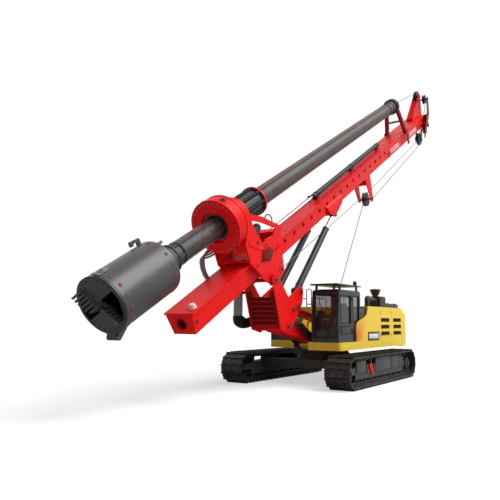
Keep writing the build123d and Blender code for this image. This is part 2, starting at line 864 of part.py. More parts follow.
with BuildPart() as silencer:
    with BuildSketch(cleaner_plane):
        with Locations((cleaner_x - cleaner_length / 2 - seat_gap - silencer_length / 2, cleaner_y)):
            Rectangle(silencer_length, silencer_width)
    extrude(amount=silencer_height)
    fillet(silencer.edges().filter_by(Axis.X).group_by(Axis.Z)[-1], 70)
silencer.part.label = "silencer"
export_step(silencer.part, "parts/silencer.step")

# boom: the parallelogram's lower link
with BuildPart() as boom:
    with BuildSketch(side(hub_half_width)):
        with Locations(boom_pin, boom_tip):
            Circle(boom_hub_radius)
    extrude(amount=2 * hub_half_width)
    boom_run = span(boom_pin, boom_tip)
    with BuildSketch(along(boom_pin, boom_tip, 0)):
        Rectangle(2 * boom_half_width, boom_depth)
    extrude(amount=boom_run)
    with BuildSketch(side(hub_half_width)):
        with Locations(boom_pin, boom_tip):
            Circle(pin_radius + pin_gap)
    extrude(amount=2 * hub_half_width, mode=Mode.SUBTRACT)
boom.part.label = "boom"
export_step(boom.part, "parts/boom.step")

# strut: the parallelogram's upper link
with BuildPart() as strut:
    with BuildSketch(side(strut_half_width)):
        with Locations(strut_pin, strut_tip):
            Circle(strut_hub_radius)
    extrude(amount=2 * strut_half_width)
    with BuildSketch(along(strut_pin, strut_tip, 0)):
        Rectangle(2 * strut_half_width, strut_depth)
    extrude(amount=span(strut_pin, strut_tip))
    with BuildSketch(side(strut_half_width)):
        with Locations(strut_pin, strut_tip):
            Circle(pin_radius + pin_gap)
    extrude(amount=2 * strut_half_width, mode=Mode.SUBTRACT)
strut.part.label = "strut"
export_step(strut.part, "parts/strut.step")


def towards(start, end, distance):
    """Side-view point at a distance from start on the line to end."""
    share = distance / span(start, end)
    return (start[0] + (end[0] - start[0]) * share, start[1] + (end[1] - start[1]) * share)


# luffing cylinders
luff_eye_radius = 98
luff_eye_half_width = 70
with BuildPart() as luff_barrels:
    for centre_y in (luff_y, -luff_y):
        with BuildSketch(along(luff_pin, luff_tip, centre_y)):
            Circle(luff_barrel_radius)
        extrude(amount=luff_barrel_length)
        with BuildSketch(side(centre_y + luff_barrel_radius)):
            with Locations(luff_pin):
                Circle(luff_eye_radius)
        extrude(amount=2 * luff_barrel_radius)
        with BuildSketch(side(centre_y + luff_barrel_radius)):
            with Locations(luff_pin):
                Circle(pin_radius + pin_gap)
        extrude(amount=2 * luff_barrel_radius, mode=Mode.SUBTRACT)
        bore_start = towards(luff_pin, luff_tip, 150)
        with BuildSketch(along(bore_start, luff_tip, centre_y)):
            Circle(luff_rod_radius + seat_gap)
        extrude(amount=luff_barrel_length, mode=Mode.SUBTRACT)
luff_barrels.part.label = "luff_barrels"
export_step(luff_barrels.part, "parts/luff_barrels.step")

with BuildPart() as luff_rods:
    for centre_y in (luff_y, -luff_y):
        rod_start = towards(luff_pin, luff_tip, 200)
        with BuildSketch(along(rod_start, luff_tip, centre_y)):
            Circle(luff_rod_radius)
        extrude(amount=span(rod_start, luff_tip))
        with BuildSketch(side(centre_y + luff_eye_half_width)):
            with Locations(luff_tip):
                Circle(luff_eye_radius)
        extrude(amount=2 * luff_eye_half_width)
luff_rods.part.label = "luff_rods"
export_step(luff_rods.part, "parts/luff_rods.step")

# triangle frame: two side plates, a ribbed front plate and the pins that they carry
with BuildPart() as triangle_frame:
    with BuildSketch(side(frame_plate_y + frame_plate)) as plate_side:
        with Locations(mast_pin):
            Circle(frame_lobe_radius)
        with Locations(stay_pin):
            Circle(frame_lobe_radius - 30)
        with BuildLine():
            Polyline(
                (mast_pin[0] + 195, mast_pin[1] - 30), frame_front_low,
                (boom_tip[0] - 60, boom_tip[1] - 190), (2860, 2060), frame_rear,
                (stay_pin[0] - 168, stay_pin[1] - 20), (stay_pin[0] + 100, stay_pin[1] + 130),
                frame_valley, (mast_pin[0] - 190, mast_pin[1] + 50), close=True)
        make_face()
    extrude(amount=frame_plate)
    mirror(about=Plane.XZ)
    front_angle = (mast_pin[0] + 195 - frame_front_low[0], mast_pin[1] - 30 - frame_front_low[1])
    front_run = hypot(*front_angle)
    front_plane = Plane(
        origin=(frame_front_low[0] - 40, 0, frame_front_low[1] + 20), x_dir=(0, 1, 0),
        z_dir=(front_angle[1] / front_run, 0, -front_angle[0] / front_run))
    with BuildSketch(front_plane):
        with Locations((0, front_plate_share * front_run / 2)):
            Rectangle(2 * frame_plate_y + 10, front_plate_share * front_run)
    extrude(amount=-frame_plate)
    with BuildSketch(front_plane):
        with Locations((0, front_plate_share * front_run / 2)):
            with GridLocations(1, frame_rib_pitch, 1, frame_rib_count):
                Rectangle(2 * frame_plate_y + 10, frame_rib_width)
    extrude(amount=frame_rib_height)
    with BuildSketch(side(frame_plate_y + frame_plate)):
        with Locations(mast_pin, boom_tip, strut_tip):
            Circle(pin_radius)
    extrude(amount=2 * (frame_plate_y + frame_plate))
    for stub_y in (frame_plate_y + frame_plate, -stub_reach):
        with BuildSketch(side(stub_y)):
            with Locations(stay_pin, luff_tip):
                Circle(stub_radius)
        extrude(amount=frame_plate_y + frame_plate - stub_reach)
triangle_frame.part.label = "triangle_frame"
export_step(triangle_frame.part, "parts/triangle_frame.step")

# mast cylinders
stay_tip = mast_point(stay_ear_s, stay_ear_n)
with BuildPart() as mast_barrels:
    for centre_y in (stay_ear_y, -stay_ear_y):
        with BuildSketch(along(stay_pin, stay_tip, centre_y)):
            Circle(stay_barrel_radius)
        extrude(amount=stay_barrel_length)
        with BuildSketch(side(centre_y + stay_barrel_radius)):
            with Locations(stay_pin):
                Circle(stay_barrel_radius + 20)
        extrude(amount=2 * stay_barrel_radius)
        with BuildSketch(side(centre_y + stay_barrel_radius)):
            with Locations(stay_pin):
                Circle(pin_radius + pin_gap)
        extrude(amount=2 * stay_barrel_radius, mode=Mode.SUBTRACT)
        with BuildSketch(along(towards(stay_pin, stay_tip, 200), stay_tip, centre_y)):
            Circle(stay_rod_radius + seat_gap)
        extrude(amount=stay_barrel_length, mode=Mode.SUBTRACT)
mast_barrels.part.label = "mast_barrels"
export_step(mast_barrels.part, "parts/mast_barrels.step")

with BuildPart() as mast_rods:
    for centre_y in (stay_ear_y, -stay_ear_y):
        rod_start = towards(stay_tip, stay_pin, stay_rod_reach)
        with BuildSketch(along(rod_start, stay_tip, centre_y)):
            Circle(stay_rod_radius)
        extrude(amount=stay_rod_reach)
        with BuildSketch(side(centre_y + stay_eye_half_width)):
            with Locations(stay_tip):
                Circle(stay_eye_radius)
        extrude(amount=2 * stay_eye_half_width)
        with BuildSketch(side(centre_y + stay_eye_half_width)):
            with Locations(stay_tip):
                Circle(pin_radius + pin_gap)
        extrude(amount=2 * stay_eye_half_width, mode=Mode.SUBTRACT)
mast_rods.part.label = "mast_rods"
export_step(mast_rods.part, "parts/mast_rods.step")


# mast: a tapered box under a wide face plate
def mast_profile(inset=0):
    """Points of the box section, drawn across the mast, shrunk by an inset."""
    front = mast_web_width / 2 - inset
    rear = mast_rear_width / 2 - inset
    return [(-rear, -mast_depth + inset), (rear, -mast_depth + inset), (front, -mast_face_plate), (-front, -mast_face_plate)]


def mast_box(start_s, end_s):
    """Hollow box of the mast between two stations."""
    with BuildPart() as box:
        with BuildSketch(mast_section(start_s)):
            Polygon(*mast_profile(), align=None)
            with Locations((0, -mast_face_plate / 2)):
                Rectangle(mast_front_width, mast_face_plate)
        extrude(amount=end_s - start_s)
        with BuildSketch(mast_section(start_s)):
            Polygon(*mast_profile(mast_wall), align=None)
        extrude(amount=end_s - start_s, mode=Mode.SUBTRACT)
    return box.part


ear_outer_y = stay_ear_y + stay_eye_half_width + side_gap
ear_inner_y = stay_ear_y - stay_eye_half_width - side_gap - stay_ear_plate
pad_outer_y = ear_outer_y + stay_ear_plate


def ear_pad():
    """Tapered pad on the mast's left side, on which the outer stay ear is welded."""
    with BuildPart() as pad:
        with BuildSketch(mast_section(stay_ear_s - ear_pad_front)):
            Polygon(
                (-mast_web_width / 2 + 35, ear_pad_top), (-pad_outer_y, ear_pad_top - ear_pad_rise),
                (-pad_outer_y, -mast_depth + 10), (-mast_rear_width / 2 + 6, -mast_depth + 10),
                align=None)
        extrude(amount=ear_pad_front + ear_pad_rear)
        with BuildSketch(mast_side(0)):
            Polygon(
                (stay_ear_s - ear_pad_front, ear_pad_top), (stay_ear_s - ear_pad_front + 90, -mast_depth),
                (stay_ear_s + ear_pad_rear - 150, -mast_depth), (stay_ear_s + ear_pad_rear, ear_pad_top),
                align=None)
        extrude(amount=mast_front_width, mode=Mode.INTERSECT)
    return pad.part


lower_box = mast_box(0, mast_joint_s)
upper_box = mast_box(mast_joint_s, mast_length)

with BuildPart() as mast_lower:
    add(lower_box)
    with BuildSketch(mast_section(0)):
        Polygon(*mast_profile(), align=None)
        with Locations((0, -mast_depth * 0.52)):
            Circle(foot_hole_radius, mode=Mode.SUBTRACT)
    extrude(amount=foot_plate)
    with BuildSketch(mast_side(-mast_front_width)):
        with Locations((hole_first_s + (hole_count - 1) * hole_pitch / 2, hole_n)):
            with GridLocations(hole_pitch, 1, hole_count, 1):
                Circle(hole_radius)
    extrude(amount=2 * mast_front_width, mode=Mode.SUBTRACT)
    for inner_y in (lug_inner_y, -lug_outer_y):
        with BuildSketch(mast_side(inner_y)):
            with Locations((mast_pin_s, mast_pin_n), (winch_lug_s, winch_lug_n)):
                Circle(lug_radius)
            Polygon(
                (mast_pin_s - 620, -240), (mast_pin_s - 560, -560), (mast_pin_s - 165, mast_pin_n - 40),
                (mast_pin_s, mast_pin_n - lug_radius), (winch_lug_s, winch_lug_n - lug_radius),
                (winch_lug_s + 165, winch_lug_n - 40), (winch_lug_s + 240, -560),
                (winch_lug_s + 420, -240), align=None)
        extrude(amount=lug_outer_y - lug_inner_y)
        with BuildSketch(mast_side(inner_y)):
            with Locations((mast_pin_s, mast_pin_n), (winch_lug_s, winch_lug_n)):
                Circle(pin_radius + pin_gap)
        extrude(amount=lug_outer_y - lug_inner_y, mode=Mode.SUBTRACT)
    for inner_y in (ear_outer_y, -pad_outer_y, ear_inner_y, -ear_inner_y - stay_ear_plate):
        with BuildSketch(mast_side(inner_y)):
            with Locations((stay_ear_s, stay_ear_n)):
                Circle(stay_ear_radius)
            Polygon(
                (stay_ear_s - ear_pad_front + 90, -mast_depth + 4), (stay_ear_s - 120, stay_ear_n - 40),
                (stay_ear_s + 120, stay_ear_n - 40), (stay_ear_s + ear_pad_rear - 150, -mast_depth + 4),
                align=None)
        extrude(amount=stay_ear_plate)
    add(ear_pad())
    add(ear_pad().mirror(Plane.XZ))
    with BuildSketch(mast_side(-pad_outer_y)):
        with Locations((stay_ear_s, stay_ear_n)):
            Circle(pin_radius)
    extrude(amount=2 * pad_outer_y)
mast_lower.part.label = "mast_lower"
export_step(mast_lower.part, "parts/mast_lower.step")

with BuildPart() as mast_upper:
    add(upper_box)
mast_upper.part.label = "mast_upper"
export_step(mast_upper.part, "parts/mast_upper.step")

# mast head: a pair of plates for the main sheaves and one for the auxiliary sheave
with BuildPart() as mast_head:
    for inner_y in (head_plate_y, -head_plate_y - head_plate):
        with BuildSketch(mast_side(inner_y)):
            with Locations(head_front_pin):
                Circle(180)
            with Locations(head_rear_pin):
                Circle(160)
            Polygon(
                (mast_length + seat_gap, -mast_depth), (head_rear_pin[0] - 120, head_rear_pin[1] - 60),
                (head_rear_pin[0] + 120, head_rear_pin[1] - 60), (mast_length + 420, -200),
                (head_front_pin[0] + 170, head_front_pin[1] + 60),
                (head_front_pin[0] - 170, head_front_pin[1] + 60),
                (mast_length - head_arm_foot, 150), (mast_length - head_arm_foot, seat_gap),
                (mast_length + seat_gap, seat_gap), align=None)
        extrude(amount=head_plate)
    with BuildSketch(mast_side(-head_plate_y)):
        Polygon(
            (mast_length - head_arm_foot + 60, seat_gap), (mast_length - head_arm_foot + 60, 135),
            (head_front_pin[0] - 400, head_front_pin[1] - 130), (head_front_pin[0] - 230, head_front_pin[1] - 290),
            (head_front_pin[0] + 40, head_front_pin[1] - 380), (mast_length + 420, 160), (mast_length + 200, -200), (mast_length + seat_gap, -200),
            (mast_length + seat_gap, seat_gap), align=None)
    extrude(amount=2 * head_plate_y)
    with BuildSketch(mast_side(-mast_rear_width / 2)):
        Polygon(
            (mast_length, -mast_depth), (mast_length + 60, -mast_depth),
            (mast_length + 60, 0), (mast_length, 0), align=None)
    extrude(amount=mast_rear_width)
    with BuildSketch(mast_side(arm_plate_y)):
        with Locations(aux_front_pin):
            Circle(110)
        Polygon(
            (mast_length - 1180, -1000), (mast_length - 1250, -900), (mast_length + 20, 130),
            (aux_front_pin[0] - 100, aux_front_pin[1] + 40), (aux_front_pin[0] + 105, aux_front_pin[1] + 20),
            (mast_length + 330, -60), align=None)
    extrude(amount=head_plate)
    with BuildSketch(mast_side(-head_plate_y)):
        with Locations((mast_length + 180, -100)):
            Circle(70)
    extrude(amount=head_plate_y + arm_plate_y)
    with BuildSketch(mast_side(-head_plate_y - head_plate)):
        with Locations(head_front_pin, head_rear_pin):
            Circle(45)
    extrude(amount=2 * (head_plate_y + head_plate))
    with BuildSketch(mast_side(head_plate_y)):
        with Locations(aux_front_pin):
            Circle(35)
    extrude(amount=arm_plate_y - head_plate_y)
mast_head.part.label = "mast_head"
export_step(mast_head.part, "parts/mast_head.step")


for name, pin, radius, hub_y, bore in (
        ("head_sheave", head_front_pin, head_sheave_radius, 0, 45 + pin_gap),
        ("rear_sheave", head_rear_pin, rear_sheave_radius, 0, 45 + pin_gap),
        ("aux_sheave", aux_front_pin, aux_sheave_radius, 400, 35 + pin_gap),
        ("bracket_sheave", (bracket_s, bracket_n), bracket_sheave_radius, 0, 45 + pin_gap)):
    hub = foot + up_mast * pin[0] + off_mast * pin[1] + Vector(0, hub_y, 0)
    with BuildPart() as wheel:
        with BuildSketch(Plane(origin=hub, x_dir=off_mast, z_dir=up_mast)):
            Polygon(
                (bore, -sheave_half_width), (radius, -sheave_half_width), (radius - 45, -12),
                (radius - 45, 12), (radius, sheave_half_width), (bore, sheave_half_width), align=None)
        revolve(axis=Axis(hub, (0, 1, 0)))
    wheel.part.label = name
    export_step(wheel.part, "parts/" + name + ".step")

# rope bracket on the mast's rear face
with BuildPart() as rope_bracket:
    for inner_y in (bracket_plate_y, -bracket_plate_y - 40):
        with BuildSketch(mast_side(inner_y)):
            with Locations((bracket_s, bracket_n)):
                Circle(110)
            Polygon(
                (bracket_s - 300, -mast_depth), (bracket_s - 110, bracket_n),
                (bracket_s + 110, bracket_n), (bracket_s + 300, -mast_depth), align=None)
        extrude(amount=40)
    with BuildSketch(mast_side(-bracket_plate_y)):
        with Locations((bracket_s, -mast_depth - 250)):
            Circle(110)
        with Locations((bracket_s, bracket_n)):
            Circle(45)
    extrude(amount=2 * bracket_plate_y)
rope_bracket.part.label = "rope_bracket"
export_step(rope_bracket.part, "parts/rope_bracket.step")

# auxiliary winch drum between the mast's rear lugs
with BuildPart() as aux_winch:
    with BuildSketch(mast_side(-lug_outer_y)):
        with Locations((winch_lug_s, winch_lug_n)):
            Circle(pin_radius)
    extrude(amount=2 * lug_outer_y)
    with BuildSketch(mast_side(-lug_inner_y + side_gap)):
        with Locations((winch_lug_s, winch_lug_n)):
            Circle(aux_drum_radius)
    extrude(amount=2 * (lug_inner_y - side_gap))
    for inner_y in (-lug_inner_y + side_gap, lug_inner_y - side_gap - 25):
        with BuildSketch(mast_side(inner_y)):
            with Locations((winch_lug_s, winch_lug_n)):
                Circle(aux_flange_radius)
        extrude(amount=25)
aux_winch.part.label = "aux_winch"
export_step(aux_winch.part, "parts/aux_winch.step")

# crowd cylinder on the mast's face, and its rod down to the carriage
cross_box_s = 4250
cross_box_length = 260
with BuildPart() as crowd_barrel:
    with BuildSketch(mast_section(crowd_s, crowd_n)):
        Circle(crowd_radius)
    extrude(amount=crowd_barrel_length)
    for saddle_s in (crowd_s + 120, crowd_s + crowd_barrel_length / 2, crowd_s + crowd_barrel_length - 320):
        with BuildSketch(mast_section(saddle_s)):
            with Locations((0, crowd_n / 2)):
                Rectangle(140, crowd_n)
        extrude(amount=200)
    with BuildSketch(mast_section(crowd_s, crowd_n)):
        Circle(crowd_rod_radius + seat_gap)
    extrude(amount=crowd_barrel_length - 200, mode=Mode.SUBTRACT)
crowd_barrel.part.label = "crowd_barrel"
export_step(crowd_barrel.part, "parts/crowd_barrel.step")

with BuildPart() as crowd_rod:
    with BuildSketch(mast_section(cross_box_s + cross_box_length, crowd_n)):
        Circle(crowd_rod_radius)
    extrude(amount=crowd_s + crowd_rod_inside - cross_box_s - cross_box_length)
crowd_rod.part.label = "crowd_rod"
export_step(crowd_rod.part, "parts/crowd_rod.step")

# carriage: side plates on claws that wrap the face plate's edges
edge = mast_front_width / 2
claw = [
    (carriage_plate_y, shoe_wrap), (edge - 90, shoe_wrap), (edge - 90, slide_gap),
    (edge + slide_gap, slide_gap), (edge + slide_gap, -mast_face_plate - slide_gap),
    (edge - 38, -mast_face_plate - slide_gap), (edge - 38, -mast_face_plate - shoe_wrap),
    (carriage_plate_y, -mast_face_plate - shoe_wrap)]


def claws(start_s, length):
    """Pair of claws round the face plate's edges."""
    with BuildPart() as pair:
        with BuildSketch(mast_section(start_s)):
            Polygon(*claw, align=None)
            Polygon(*[(-x, n) for x, n in claw], align=None)
        extrude(amount=length)
    return pair.part


claw_length = 320
low_claws = claws(2720, claw_length)
high_claws = claws(4230, claw_length)
guide_claws = claws(guide_s, guide_length)

plate_start = head_front_s + drum_length + side_gap + 1
with BuildPart() as carriage:
    for inner_y in (carriage_plate_y, -carriage_plate_y - carriage_plate):
        with BuildSketch(mast_side(inner_y)):
            Polygon(
                (2620, 60), (2640, 600), (plate_start, 700), (plate_start, 1180), (2900, 1240), (3250, 1215),
                (3760, 960), (4180, 650), (4640, 350), (4400, 60), (3980, -70), (3560, -330), (3200, -480),
                (2950, -430), align=None)
            Polygon(
                (3150, 1090), (3700, 800), (4260, 430), (4020, 290), (3620, 340), (3440, 280), (3330, 560),
                align=None, mode=Mode.SUBTRACT)
        extrude(amount=carriage_plate)
    add(low_claws)
    add(high_claws)
    with BuildSketch(mast_section(cross_box_s)):
        with Locations((0, (shoe_wrap + 330) / 2)):
            Rectangle(2 * carriage_plate_y, 330 - shoe_wrap)
    extrude(amount=cross_box_length)
    with BuildSketch(mast_section(2720)):
        with Locations((0, shoe_wrap + 40)):
            Rectangle(2 * carriage_plate_y, 80)
    extrude(amount=500)
carriage.part.label = "carriage"
export_step(carriage.part, "parts/carriage.step")

# drive head: front drum and gear case with the bore for the drive sleeve
gear_radius = carriage_plate_y - seat_gap
with BuildPart() as drive_head:
    with BuildSketch(mast_section(head_front_s, kelly_n)):
        Circle(drum_radius)
    extrude(amount=drum_length)
    with BuildSketch(mast_section(head_front_s + drum_length, kelly_n)):
        Circle(gear_radius)
        with Locations((0, -400)):
            Rectangle(2 * gear_radius, 800)
    extrude(amount=gear_length)
    with BuildSketch(mast_section(head_front_s, kelly_n)):
        Circle(sleeve_radius + pin_gap)
    extrude(amount=drum_length + gear_length, mode=Mode.SUBTRACT)
    with BuildSketch(mast_section(head_front_s, kelly_n)):
        Circle(mouth_radius)
    extrude(amount=60, mode=Mode.SUBTRACT)
drive_head.part.label = "drive_head"
export_step(drive_head.part, "parts/drive_head.step")

gear_top_s = head_front_s + drum_length + gear_length
with BuildPart() as drive_motors:
    with BuildSketch(mast_section(gear_top_s)):
        with Locations((330, kelly_n - 560), (-330, kelly_n - 560)):
            Circle(120)
    extrude(amount=420)
drive_motors.part.label = "drive_motors"
export_step(drive_motors.part, "parts/drive_motors.step")

# drive sleeve with its spring buffer, turned by the drive head
with BuildPart() as drive_sleeve:
    with BuildSketch(mast_section(head_front_s + 62, kelly_n)):
        Circle(sleeve_radius)
    extrude(amount=spring_ring_s - head_front_s - 62)
    for ring_s, ring_length in ((gear_top_s + side_gap, 60), (spring_ring_s, 90)):
        with BuildSketch(mast_section(ring_s, kelly_n)):
            Circle(spring_ring_radius)
        extrude(amount=ring_length)
    with BuildSketch(mast_section(gear_top_s + side_gap, kelly_n)):
        with PolarLocations(spring_ring_radius - 40, spring_count):
            Circle(34)
    extrude(amount=spring_ring_s - gear_top_s)
    with BuildSketch(mast_section(head_front_s, kelly_n)):
        Circle(sleeve_bore)
    extrude(amount=spring_ring_s + 400 - head_front_s, mode=Mode.SUBTRACT)
drive_sleeve.part.label = "drive_sleeve"
export_step(drive_sleeve.part, "parts/drive_sleeve.step")

# kelly bar: outer tube with drive ribs, collar below and neck above
guide_top_s = guide_s + guide_length
with BuildPart() as kelly:
    with BuildSketch(mast_section(kelly_bottom_s, kelly_n)):
        Circle(kelly_radius)
        with PolarLocations(kelly_radius + kelly_rib_height / 2 - 4, kelly_rib_count):
            Rectangle(kelly_rib_height + 8, kelly_rib_width)
    extrude(amount=kelly_top_s - kelly_bottom_s)
    with BuildSketch(mast_section(bucket_top_s, kelly_n)):
        Circle(kelly_collar_radius)
    extrude(amount=kelly_collar_length)
    with BuildSketch(mast_section(kelly_top_s, kelly_n)):
        Circle(kelly_radius + kelly_rib_height)
    extrude(amount=guide_s - side_gap - kelly_top_s)
    with BuildSketch(mast_section(guide_s - side_gap, kelly_n)):
        Circle(neck_radius)
    extrude(amount=guide_length + 2 * side_gap)
    with BuildSketch(mast_section(guide_top_s + seat_gap, kelly_n)):
        Circle(kelly_radius)
    extrude(amount=120)
    with BuildSketch(mast_section(guide_top_s + 100, kelly_n)):
        Circle(rope_neck_radius)
    extrude(amount=rope_neck_top - guide_top_s - 100)
    with BuildSketch(mast_side(-rope_neck_radius)):
        with Locations((rope_eye_s, kelly_n)):
            Circle(rope_eye_radius)
    extrude(amount=2 * rope_neck_radius, mode=Mode.SUBTRACT)
kelly.part.label = "kelly_bar"
export_step(kelly.part, "parts/kelly_bar.step")

# kelly guide: ring on an A-frame that runs on the mast's face plate
with BuildPart() as kelly_guide:
    with BuildSketch(mast_section(guide_s)):
        with Locations((0, kelly_n)):
            Circle(guide_ring_radius)
        with BuildLine():
            Polyline(
                (guide_foot_y + 30, shoe_wrap), (guide_foot_y - 100, shoe_wrap), (200, kelly_n - 230),
                (310, kelly_n - 100), close=True)
        make_face()
        with BuildLine():
            Polyline(
                (-guide_foot_y - 30, shoe_wrap), (-guide_foot_y + 100, shoe_wrap), (-200, kelly_n - 230),
                (-310, kelly_n - 100), close=True)
        make_face()
        with Locations((0, 520)):
            Rectangle(700, 60)
        with Locations((0, kelly_n)):
            Circle(neck_radius + pin_gap, mode=Mode.SUBTRACT)
    extrude(amount=guide_length)
    add(guide_claws)
    for inner_y in (carriage_plate_y, -carriage_plate_y - guide_plate):
        with BuildSketch(mast_side(inner_y)):
            Polygon(
                (guide_s - 60, 60), (guide_s + guide_length + 60, 60),
                (guide_s + guide_length + 60, -200), (guide_s + 160, -600), (guide_s, -600), align=None)
        extrude(amount=guide_plate)
kelly_guide.part.label = "kelly_guide"
export_step(kelly_guide.part, "parts/kelly_guide.step")

# drilling bucket: open-bottomed barrel under the collar, with its latch hook and lever on top and
# the flap's hinge lugs
rim_s = bucket_bottom_s + flap_thickness + side_gap
hinge_s = bucket_bottom_s + flap_thickness / 2
hinge_n = kelly_n - bucket_radius - 90
with BuildPart() as bucket:
    with BuildSketch(mast_section(rim_s, kelly_n)):
        Circle(bucket_radius)
    extrude(amount=bucket_top_s - rim_s)
    with BuildSketch(mast_section(rim_s, kelly_n)):
        Circle(bucket_radius - bucket_wall)
    extrude(amount=bucket_top_s - rim_s - bucket_roof, mode=Mode.SUBTRACT)
    with BuildSketch(mast_section(bucket_top_s, kelly_n)):
        Circle(kelly_collar_radius + 160)
        Circle(kelly_collar_radius + seat_gap, mode=Mode.SUBTRACT)
    extrude(amount=60)
    latch_n = kelly_n + bucket_radius - 65
    with BuildSketch(mast_side(latch_y)):
        Polygon(
            (latch_s + 60, latch_n), (latch_s + 40, latch_n + latch_height - 15),
            (latch_s - 170, latch_n + latch_height), (latch_s - 270, latch_n + latch_height),
            (latch_s - 270, latch_n + latch_height - 110), (latch_s - 190, latch_n + latch_height - 110),
            (latch_s - 170, latch_n + latch_height - 65), (latch_s - 50, latch_n + latch_height - 75),
            (latch_s - 60, latch_n), align=None)
    extrude(amount=latch_width)
    with BuildSketch(mast_section(bucket_top_s - 10, kelly_n + lever_n, lever_y)):
        Circle(lever_radius)
    extrude(amount=lever_length)
    for lug_y in (lug_spread, -lug_spread - hinge_lug):
        with BuildSketch(mast_side(lug_y)):
            with Locations((hinge_s, hinge_n)):
                Circle(hinge_lug_radius)
            Polygon(
                (hinge_s - 20, hinge_n + hinge_lug_radius), (rim_s + 30, kelly_n - bucket_radius + 10),
                (rim_s + 300, kelly_n - bucket_radius + 10), (hinge_s + 30, hinge_n - hinge_lug_radius + 8),
                align=None)
        extrude(amount=hinge_lug)
    with BuildSketch(mast_side(-lug_spread - hinge_lug)):
        with Locations((hinge_s, hinge_n)):
            Circle(hinge_pin_radius)
    extrude(amount=2 * (lug_spread + hinge_lug))
bucket.part.label = "drilling_bucket"
export_step(bucket.part, "parts/drilling_bucket.step")

# bottom flap: round plate with two mouths, a row of teeth beside each and a pilot tip
mouth_points = [
    (mouth_corner, 0), (bucket_radius - 170, 330), (bucket_radius - 80, 125), (bucket_radius - 70, -130),
    (bucket_radius - 170, -330), (60, -130)]
with BuildPart() as flap:
    with BuildSketch(mast_section(bucket_bottom_s, kelly_n)):
        Circle(bucket_radius - 10)
        Polygon(*mouth_points, align=None, mode=Mode.SUBTRACT)
        Polygon(*[(-x, -n) for x, n in mouth_points], align=None, mode=Mode.SUBTRACT)
    extrude(amount=flap_thickness)
    for turn in (0, 180):
        for index in range(teeth_per_row):
            tooth_run = teeth_start + index * teeth_pitch
            row = Rot(Z=turn) * Pos(mouth_corner, 0) * Rot(Z=teeth_angle)
            with BuildSketch(mast_section(bucket_bottom_s + 10, kelly_n)):
                with Locations(row * Pos(tooth_run, teeth_offset)):
                    Rectangle(tooth_width, tooth_depth)
            with BuildSketch(mast_section(bucket_bottom_s - tooth_length, kelly_n)):
                with Locations(row * Pos(tooth_run, teeth_offset - tooth_rake)):
                    Rectangle(tooth_width * 0.7, 16)
            loft()
    with BuildSketch(mast_section(bucket_bottom_s + 10, kelly_n)):
        Circle(pilot_radius)
    with BuildSketch(mast_section(bucket_bottom_s - pilot_length, kelly_n)):
        Rectangle(70, 14)
    loft()
    with BuildSketch(mast_side(-lug_spread + side_gap)):
        with Locations((hinge_s, hinge_n)):
            Circle(hinge_lug_radius)
        Polygon(
            (hinge_s - hinge_lug_radius, hinge_n), (bucket_bottom_s, kelly_n - bucket_radius + 60),
            (bucket_bottom_s + flap_thickness, kelly_n - bucket_radius + 60),
            (bucket_bottom_s + flap_thickness, hinge_n),
            align=None)
    extrude(amount=2 * (lug_spread - side_gap))
    with BuildSketch(mast_side(-lug_spread)):
        with Locations((hinge_s, hinge_n)):
            Circle(hinge_pin_radius + pin_gap)
    extrude(amount=2 * lug_spread, mode=Mode.SUBTRACT)
flap.part.label = "bucket_flap"
export_step(flap.part, "parts/bucket_flap.step")
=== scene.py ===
"""Paint, fittings, ropes and hoses for the rotary piling rig.

Everything is in metres in the rig's own frame: +X forwards, +Y to the cab's side, +Z up.
Pieces on the mast are drawn in the mast's directions: s up the mast, n out of its front, y sideways.
"""

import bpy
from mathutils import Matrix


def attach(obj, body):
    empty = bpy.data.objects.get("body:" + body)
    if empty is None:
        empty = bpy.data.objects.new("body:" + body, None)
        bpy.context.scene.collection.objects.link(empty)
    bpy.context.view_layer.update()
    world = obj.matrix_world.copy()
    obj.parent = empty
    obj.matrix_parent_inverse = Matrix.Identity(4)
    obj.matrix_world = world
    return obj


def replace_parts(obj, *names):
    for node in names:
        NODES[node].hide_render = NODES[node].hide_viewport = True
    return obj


bl_info = {
    "name": "Rotary Piling Rig",
    "version": (1, 0, 0),
    "blender": (4, 5, 0),
    "location": "View3D > Sidebar > Piling Rig",
    "description": "Paint, fittings, ropes and hoses for the rotary piling rig",
    "category": "Object",
}

import bpy
import bmesh
from math import atan2, cos, pi, radians, sin
from mathutils import Matrix, Vector

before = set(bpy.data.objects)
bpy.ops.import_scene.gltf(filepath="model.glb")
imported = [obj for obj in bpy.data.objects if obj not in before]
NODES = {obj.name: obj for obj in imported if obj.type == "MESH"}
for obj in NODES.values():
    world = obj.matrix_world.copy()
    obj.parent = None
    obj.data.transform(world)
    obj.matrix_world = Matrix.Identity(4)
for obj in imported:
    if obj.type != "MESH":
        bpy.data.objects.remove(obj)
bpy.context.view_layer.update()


# Sizes and colours that a user would change

def length(name, description, default):
    """Length that a user can change, in metres."""
    return bpy.props.FloatProperty(name=name, description=description, default=default, unit="LENGTH")


def colour(name, description, default):
    """Linear colour that a user can change."""
    return bpy.props.FloatVectorProperty(name=name, description=description, default=default,
                                         subtype="COLOR", size=3)


class RigSizes(bpy.types.PropertyGroup):
    """Sizes of the dressing, in metres and radians."""
    lean: bpy.props.FloatProperty(name="Mast lean", description="Lean of the stored mast from level",
                                  default=radians(29.2), subtype="ANGLE")
    rope: length("Rope radius", "Radius of the wire ropes", 0.014)
    hose: length("Hose radius", "Radius of the hydraulic hoses", 0.024)
    bolt: length("Bolt radius", "Radius of the flange bolts' heads", 0.014)
    rail: length("Handrail radius", "Radius of the handrails", 0.017)


